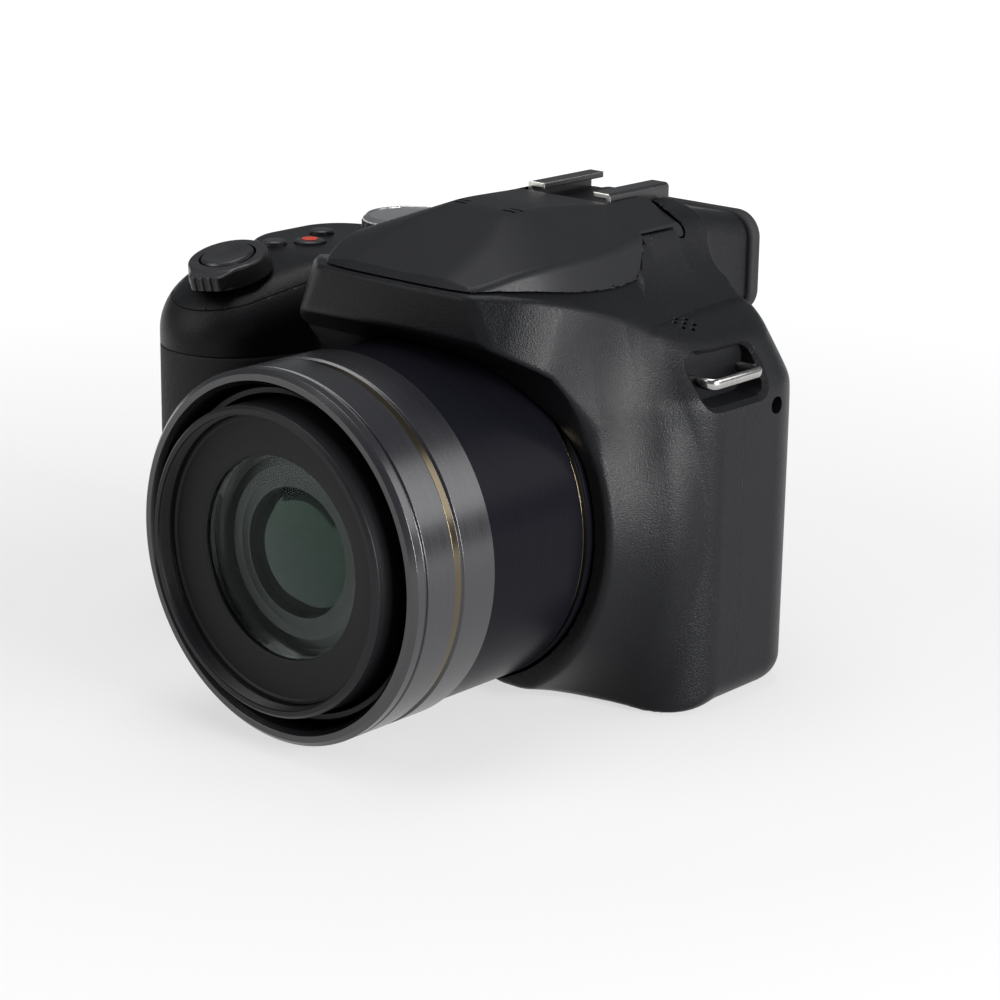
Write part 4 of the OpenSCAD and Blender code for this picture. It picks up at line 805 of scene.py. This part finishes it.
def bent_bar(name, path, bend, half_width, half_height, sides=24, steps=9):
    """Oval section carried along a level path of straight legs joined by arcs, with a flat at each end."""
    p = np.asarray(path, float)
    rows, normal = soften(p, [1e-6] + [bend] * (len(p) - 2) + [1e-6], steps)
    rows, normal = rows.reshape(-1, 2), normal.reshape(-1, 2)
    rows = np.concatenate([p[:1], rows[steps:-steps], p[-1:]])
    normal = np.concatenate([normal[steps:steps + 1], normal[steps:-steps], normal[-steps - 1:-steps]])
    turn = np.linspace(0, 2 * np.pi, sides, endpoint=False)
    side = np.cos(turn)[None, :, None] * normal[:, None] * half_width
    level = np.broadcast_to(np.sin(turn) * half_height, (len(rows), sides))
    points = np.concatenate([rows[:, None] + side, level[..., None]], -1).reshape(-1, 3)
    i, j = np.meshgrid(np.arange(len(rows) - 1) * sides, np.arange(sides), indexing="ij")
    j2 = (j + 1) % sides
    faces = np.stack([i + j, i + sides + j, i + sides + j2, i + j2], -1).reshape(-1, 4).tolist()
    faces += [list(range(sides)), list(range(len(points) - sides, len(points)))[::-1]]
    mesh = bpy.data.meshes.new(name)
    mesh.from_pydata((points * 0.001 + np.array((0, 0, lug_height))).tolist(), [], faces)
    mesh.polygons.foreach_set("use_smooth", np.arange(len(faces)) < len(faces) - 2)
    return linked(name, mesh)

bright_steel = anodised("bright_steel", (0.40, 0.39, 0.38), 0.18, 0.5, 3000.0, 1.0)
left_path = [(37.9, lug_front), (46.1, lug_front), (46.1, lug_rear), (37.9, lug_rear)]
right_path = [(-76.2, lug_rear), (-82.4, lug_rear), (-82.4, lug_front), (-76.2, lug_front)]
for lug, path in (("strap_lug_left", left_path), ("strap_lug_right", right_path)):
    carry(bent_bar(lug + "_bar", path, 1.6, 0.62, 1.1), bright_steel, "camera", "steel", lug)

# Eyepiece: a soft rubber cup pressed over the eyepiece box, with a coated lens behind its opening.
# A small knurled dial on the box's side sets the lens to the eye.
def eyecup_form(x, y, z):
    """Frame with a rounded outline, a smaller rounded opening that widens to the rear, and soft edges."""
    rim = plan_box(x, z, -22, 22, 66.5, 87.9 - 0.05 * (y - 29), 5.5)
    rim = round_meet(rim, np.maximum(29.0 - y, y - 32.08), 1.0)
    opening = plan_box(x, z, -13, 13, 69.2, 85.2, 3.0)
    flare = plan_box(x, z, -14.5, 14.5, 67.9, 86.4, 4.0) + 4.0 * (32.1 - y) / 3.1
    return np.maximum(rim, -round_union(opening, flare, 0.4))

def knurl(count, depth):
    """Ripple that cuts a number of round flutes of a depth into the outermost 0.6 mm of an outline."""
    def flutes(row, turn):
        """Change of radius: a squared wave of the angle on the rows at the rim, and nought on the others."""
        return -depth * (row[:, :1] > row[:, 0].max() - 0.6) * (0.5 + 0.5 * np.cos(count * turn)) ** 2
    return flutes

soft_rubber = grained("soft_rubber", (0.016, 0.016, 0.017), (0.011, 0.011, 0.012), 0.7, 1800.0, 0.00006, 0.25)
eyecup = moulded("eyecup_rubber", eyecup_form,
                 spaced(-23, 0.42, 23), spaced(28.2, 0.42, 33), spaced(65.5, 0.42, 89))
carry(eyecup, soft_rubber, "camera", "skin", "eyecup")
backward = dict(axis=(0, 1, 0), first=(1, 0, 0))
window_outline = [(0, 26.75), (1.8, 26.75), (1.8, 29.7), (1.4, 30.05), (0, 30.05)]
eyepiece = turned("eyepiece_window", window_outline, 0.2, (0, 0, 77.2), segments=48,
                  core=(10.2, 5.2), **backward)
eyepiece_coating = coated("eyepiece_coating", (0.12, 0.14, 0.14), (0.6, 0.7, 0.9), 1.3)
carry(eyepiece, eyepiece_coating, "camera", "lens_glass", "eyepiece_lens")
dioptre_outline = [(0, 13.3), (1.5, 13.3), (1.5, 18.7), (4.5, 18.7), (4.5, 21.8), (4.0, 22.3), (1.6, 22.3),
                   (1.4, 22.0), (0, 22.0)]
dioptre = turned("dioptre_wheel", dioptre_outline, 0.2, (0, dioptre_y, dioptre_z), (-1, 0, 0), (0, 1, 0), 168,
                 knurl(28, 0.3))
carry(dioptre, soft_rubber, "dioptre_dial", "control", "dioptre_dial")

# Monitor: a sheet of clear plastic with a fine bevel over the dark panel.
# It is bonded flush into a recess of the back wall.
sheet_outline = [(0, 16.0), (2.0, 16.0), (2.0, 17.0), (1.8, 17.2), (0, 17.2)]
monitor_glass = turned("monitor_window", sheet_outline, 0.08, (1.5, 0, 34), segments=48,
                       core=(32.5, 23.0), **backward)
gloss_black = grained("gloss_black", (0.008, 0.008, 0.010), (0.006, 0.006, 0.007), 0.08, 40.0, 0.0, 0.5)
carry(monitor_glass, gloss_black, "camera", "screen", "monitor_glass")

# Thumb rest: a pad of the grip's grained rubber with a raised edge to push against.
# It is bonded to the back wall.
def thumb_form(x, y, z):
    """Rounded plate, a little thicker along its inner edge."""
    face = 17.75 + 0.35 * ease(x, -66, -62)
    return round_meet(plan_box(x, z, -71, -61.2, 20, 60, 3.0), np.maximum(16.6 - y, y - face), 0.5)

thumb_pad = moulded("thumb_rubber", thumb_form,
                    spaced(-72, 0.4, -60), spaced(16, 0.3, 18.8), spaced(19, 0.4, 61))
carry(thumb_pad, grip_rubber, "camera", "skin", "thumb_pad")

# Keys on the back: small round caps with a shallow dome, each on its own stem, and a four-way ring
# with a round key in the middle.
key_plastic = grained("key_plastic", (0.020, 0.020, 0.022), (0.014, 0.014, 0.016), 0.36, 2600.0, 0.00002, 0.4)
key_outline = [(0, 12.6), (3.0, 12.6), (3.0, 17.6), (2.6, 17.85), (1.3, 17.95), (0, 18.0)]
key_softness = [0, 0.1, 0.25, 3, 6, 0]
for key, (key_x, key_z) in back_keys.items():
    cap = turned(key + "_cap", key_outline, key_softness, (key_x, 0, key_z), segments=64, **backward)
    carry(cap, key_plastic, key, "control", key)

def pad_form(x, y, z):
    """Flat ring, dished towards the middle, with a raised dot at each of its four sides."""
    u, v = x - pad_x, z - pad_z
    r = np.hypot(u, v)
    face = y - 17.35 - 0.4 * ease(r, 6.5, 10.5)
    ring = round_meet(round_meet(np.maximum(r - 11.0, 5.0 - r), face, 0.35), 15.4 - y, 0.1)
    dots = np.minimum(np.hypot(np.abs(u) - 8.2, v), np.hypot(u, np.abs(v) - 8.2)) - 0.55
    return round_union(ring, np.maximum(dots, np.maximum(y - 17.8, 16 - y)), 0.2)

cursor_pad = moulded("cursor_ring", pad_form,
                     spaced(-60.6, 0.3, -37.4), spaced(14.8, 0.3, 18.5), spaced(22.4, 0.3, 45.6))
carry(cursor_pad, key_plastic, "cursor_pad", "control", "cursor_pad")
set_outline = [(0, 13), (4.6, 13), (4.6, 17.3), (4.1, 17.7), (2.0, 17.9), (0, 17.95)]
set_softness = [0, 0.1, 0.3, 4, 8, 0]
set_key = turned("set_cap", set_outline, set_softness, (pad_x, 0, pad_z), segments=72, **backward)
carry(set_key, key_plastic, "set_button", "control", "set_button")

# Shutter button and zoom lever: a dished metal button on a sprung stem, and round it a ring that turns
# a little each way, pushed by a ribbed tab in front.
deck_fall = np.radians(15)
lean_cos, lean_sin = np.cos(deck_fall), np.sin(deck_fall)
tilted = dict(origin=(shutter_x, shutter_y, shutter_z), axis=(0, -lean_sin, lean_cos), first=(1, 0, 0))

def lathe_finish(name, tint, centre, rough, metal):
    """Machined face: rings round an upright axis change its shade and gloss."""
    made, tree, skin, place = blank(name)
    moved = wire(tree, "ShaderNodeVectorMath", i0=place, i1=tuple(-0.001 * np.array((*centre, 0.0))))
    flat = wire(tree, "ShaderNodeVectorMath", i0=moved, i1=(1.0, 1.0, 0.0))
    flat.node.operation = "MULTIPLY"
    reach = wire(tree, "ShaderNodeVectorMath", 1, i0=flat)
    reach.node.operation = "LENGTH"
    drawn = wire(tree, "ShaderNodeCombineXYZ", X=reach)
    rings = wire(tree, "ShaderNodeTexNoise", Vector=drawn, Scale=6000.0, Detail=2.0)
    shade = between(tree, rings, np.multiply(tint, 0.8), np.multiply(tint, 1.15))
    tree.links.new(shade, skin.inputs["Base Color"])
    textured(tree, skin, rings, rough - 0.05, rough + 0.07, 0.3, 0.00001)
    skin.inputs["Metallic"].default_value = metal
    return made

shutter_outline = [(0, -5), (2.2, -5), (2.2, 2.6), (5.5, 2.6), (5.5, 4.5), (5.0, 5.0), (4.2, 4.9), (2.2, 4.6),
                   (0, 4.5)]
shutter_softness = [0, 0.1, 0.1, 0.1, 0.3, 0.4, 3, 9, 0]
shutter = turned("shutter_cap", shutter_outline, shutter_softness, segments=128, **tilted)
shutter_metal = lathe_finish("shutter_metal", (0.035, 0.035, 0.038), (shutter_x, shutter_y), 0.3, 0.6)
carry(shutter, shutter_metal, "shutter_button", "control", "shutter_button")

def zoom_lever_form(x, y, z):
    """Conical ring round the button with a tapered tab turned 18 degrees, its front cut by three grooves."""
    u, forward, up = x - shutter_x, y - shutter_y, z - shutter_z
    v, w = forward * lean_cos + up * lean_sin, up * lean_cos - forward * lean_sin
    r = np.hypot(u, v)
    ring = round_meet(round_meet(r - 8.8 + 0.15 * (w - 0.4), w - 4.4, 0.5), 0.4 - w, 0.2)
    across, along = u * 0.951 + v * 0.309, v * 0.951 - u * 0.309
    tab = np.maximum(np.abs(across) - 3.5 - 0.417 * (along + 10.7), along + 4.0)
    tab = round_meet(tab, -10.7 - along, 0.9)
    tab = round_meet(round_meet(tab, w - 4.4, 0.5), 1.3 - w, 0.3)
    grooves = np.hypot(np.abs(np.abs(across) - 0.9) - 0.9, along + 10.9) - 0.55
    tab = np.maximum(tab, -np.maximum(grooves, 1.0 - w))
    return np.maximum(round_union(ring, tab, 0.8), 6.0 - r)

zoom_lever = moulded("zoom_lever_ring", zoom_lever_form,
                     spaced(-74.2, 0.26, -54), spaced(-45, 0.26, -23.5), spaced(67, 0.26, 79.5))
lever_tint, lever_shade = (0.016, 0.016, 0.018), (0.011, 0.011, 0.012)
lever_plastic = grained("lever_plastic", lever_tint, lever_shade, 0.34, 2600.0, 0.00002, 0.4)
carry(zoom_lever, lever_plastic, "zoom_lever", "control", "zoom_lever")

# Mode dial: a fluted wheel of black plastic with a bright bevel and a machined silver top pressed onto it.
# It turns on a stem through the deck.
mode_axis = dict(origin=(mode_x, mode_y, 0), **upright)
wheel_outline = [(0, 70.0), (3.0, 70.0), (3.0, 75.4), (9.5, 75.4), (10.0, 75.8), (10.0, 79.6), (9.6, 79.9),
                 (0, 79.9)]
wheel_softness = [0, 0.1, 0.1, 0.1, 0.2, 0.25, 0.1, 0]
mode_dial = turned("mode_dial_wheel", wheel_outline, wheel_softness, segments=288,
                   ripple=knurl(24, 0.7), **mode_axis)
carry(mode_dial, key_plastic, "mode_dial", "control", "mode_dial")
bevel_outline = [(8.3, 79.8), (9.7, 79.8), (9.7, 80.2), (8.9, 80.95), (8.3, 80.95)]
mode_bevel = turned("mode_dial_bevel", bevel_outline, 0.12, segments=144, **mode_axis)
dial_chrome = lathe_finish("dial_chrome", (0.62, 0.62, 0.63), (mode_x, mode_y), 0.18, 1.0)
carry(mode_bevel, dial_chrome, "mode_dial", "control")
top_outline = [(0, 79.7), (8.4, 79.7), (8.4, 80.75), (0, 80.75)]
mode_top = turned("mode_dial_top", top_outline, 0.1, segments=144, **mode_axis)
dial_silver = lathe_finish("dial_silver", (0.34, 0.34, 0.355), (mode_x, mode_y), 0.36, 0.8)
carry(mode_top, dial_silver, "mode_dial", "control")

# Power switch: a small slider of the keys' plastic with grip ribs across its top.
# It rides on a stem through a slot of the deck.
def power_form(x, y, z):
    """Rounded slider with three grooves over its top, on a stem through the slot."""
    slider = round_meet(plan_box(x, y, -38.7, -34.7, -3.5, 3.5, 1.2), z - 77.2 + 0.02 * y * y, 0.5)
    slider = round_meet(slider, 75.3 - z, 0.2)
    grooves = np.hypot(np.abs(np.abs(y) - 0.8) - 0.8, z - 77.45) - 0.5
    stem = np.maximum(plan_box(x, y, -37.7, -35.7, -1.5, 1.5, 0.4), np.abs(z - 73.5) - 2.3)
    return np.minimum(np.maximum(slider, -grooves), stem)

power_switch = moulded("power_slider", power_form,
                       spaced(-39.4, 0.22, -34.0), spaced(-4.2, 0.22, 4.2), spaced(70.6, 0.22, 77.9))
carry(power_switch, key_plastic, "power_switch", "control", "power_switch")

# Keys on the deck: three small round caps of moulded plastic that stand in holes of the deck.
# The one for film carries a dot of red paint.
deck_key_softness = [0, 0.1, 0.2, 2, 6, 0]
for key, (key_x, key_y, key_r) in deck_keys.items():
    lift = 75.7 if key == "movie_button" else 75.8
    cap_outline = [(0, 71.0), (key_r, 71.0), (key_r, lift - 0.3), (key_r - 0.35, lift - 0.05),
                   (0.5 * key_r, lift), (0, lift)]
    cap = turned(key + "_cap", cap_outline, deck_key_softness, (key_x, key_y, 0), segments=72, **upright)
    carry(cap, key_plastic, key, "control", key)
movie_x, movie_y, _ = deck_keys["movie_button"]
dot_outline = [(0, 75.5), (1.7, 75.5), (1.7, 75.85), (1.4, 75.95), (0, 75.98)]
movie_dot = turned("movie_dot", dot_outline, [0, 0.05, 0.1, 0.5, 0], (movie_x, movie_y, 0), segments=48,
                   **upright)
signal_red = grained("signal_red", (0.55, 0.045, 0.020), (0.45, 0.035, 0.015), 0.35, 2600.0, 0.00001, 0.4)
carry(movie_dot, signal_red, "movie_button", "control")

# Rear dial: a knurled wheel of the keys' plastic that lies flat under the deck.
# Its edge stands out through a slot in the back wall.
rear_outline = [(0, 65.5), (8.2, 65.5), (8.7, 66.0), (8.7, 69.0), (8.2, 69.5), (0, 69.5)]
rear_dial = turned("rear_dial_wheel", rear_outline, [0, 0.2, 0.2, 0.2, 0.2, 0], (-64.0, 10.5, 0),
                   segments=288, ripple=knurl(48, 0.35), **upright)
carry(rear_dial, key_plastic, "rear_dial", "control", "rear_dial")

# Focus lamp: a small window of clear amber plastic in the front wall between the lens and the grip.
# It is pressed in from behind.
lamp_outline = [(0, 20.0), (2.3, 20.0), (2.3, 22.6), (1.6, 23.15), (0, 23.3)]
focus_lamp = turned("focus_lamp", lamp_outline, [0, 0.1, 0.3, 2.0, 0], (lamp_x, 0, lamp_z), (0, -1, 0),
                    (1, 0, 0), 64)
amber_window = grained("amber_window", (0.16, 0.030, 0.010), (0.10, 0.020, 0.008), 0.12, 60.0, 0.0, 0.5)
carry(focus_lamp, amber_window, "camera", "lamp", "assist_lamp")

# Terminal door: a moulded flap in the side wall that covers the sockets.
# It is hinged on two stub pins and lies flush with the moulding round it.
def terminal_form(x, y, z):
    """Patch of the body's outside, 1.6 mm thick, inside the flap's rounded outline."""
    flap = round_meet(body_form(x, y, z), plan_box(y, z, -4.6, 7.0, 28.0, 56.0, 0.8), 0.3)
    return np.maximum(flap, x + 81.6)

terminal_door = moulded("terminal_flap", terminal_form,
                        spaced(-84, 0.36, -80.8), spaced(-5.4, 0.36, 8), spaced(27, 0.36, 57))
carry(terminal_door, body_plastic, "terminal_door", "cover", "terminal_door")

# Base, flash head and works: solids that keep their shape. The base plate, the battery door and its latch
# are moulded in the body's plastic; boards, rods and the chassis lie inside.
def dressed(material, *names):
    """Puts a material on each of the named solids."""
    for name in names:
        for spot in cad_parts[name].material_slots:
            spot.material = material

dressed(body_plastic, "base_plate", "battery_door")
dressed(key_plastic, "door_latch")
dressed(bright_steel, "tripod_bush", "flash_pins", "guide_rods", "flash_reflector")
screw_black = anodised("screw_black", (0.05, 0.05, 0.052), 0.35, 0.5, 3000.0, 1.0)
dressed(screw_black, "case_screws")
cast_metal = anodised("cast_metal", (0.30, 0.30, 0.31), 0.5, 0.5, 600.0, 1.0)
dressed(cast_metal, "chassis")
dressed(flat_black, "lens_base", "zoom_group", "viewfinder_tube", "battery_case")
board_green = grained("board_green", (0.020, 0.090, 0.045), (0.012, 0.060, 0.030), 0.45, 900.0, 0.00002)
dressed(board_green, "sensor_board", "main_board", "terminal_board")
battery_grey = grained("battery_grey", (0.10, 0.10, 0.105), (0.07, 0.07, 0.075), 0.5, 1800.0, 0.00002)
dressed(battery_grey, "battery")
dressed(gloss_black, "monitor_panel")
frosted_window = grained("frosted_window", (0.70, 0.74, 0.74), (0.60, 0.64, 0.64), 0.35, 1500.0, 0.00003)
dressed(frosted_window, "flash_window")
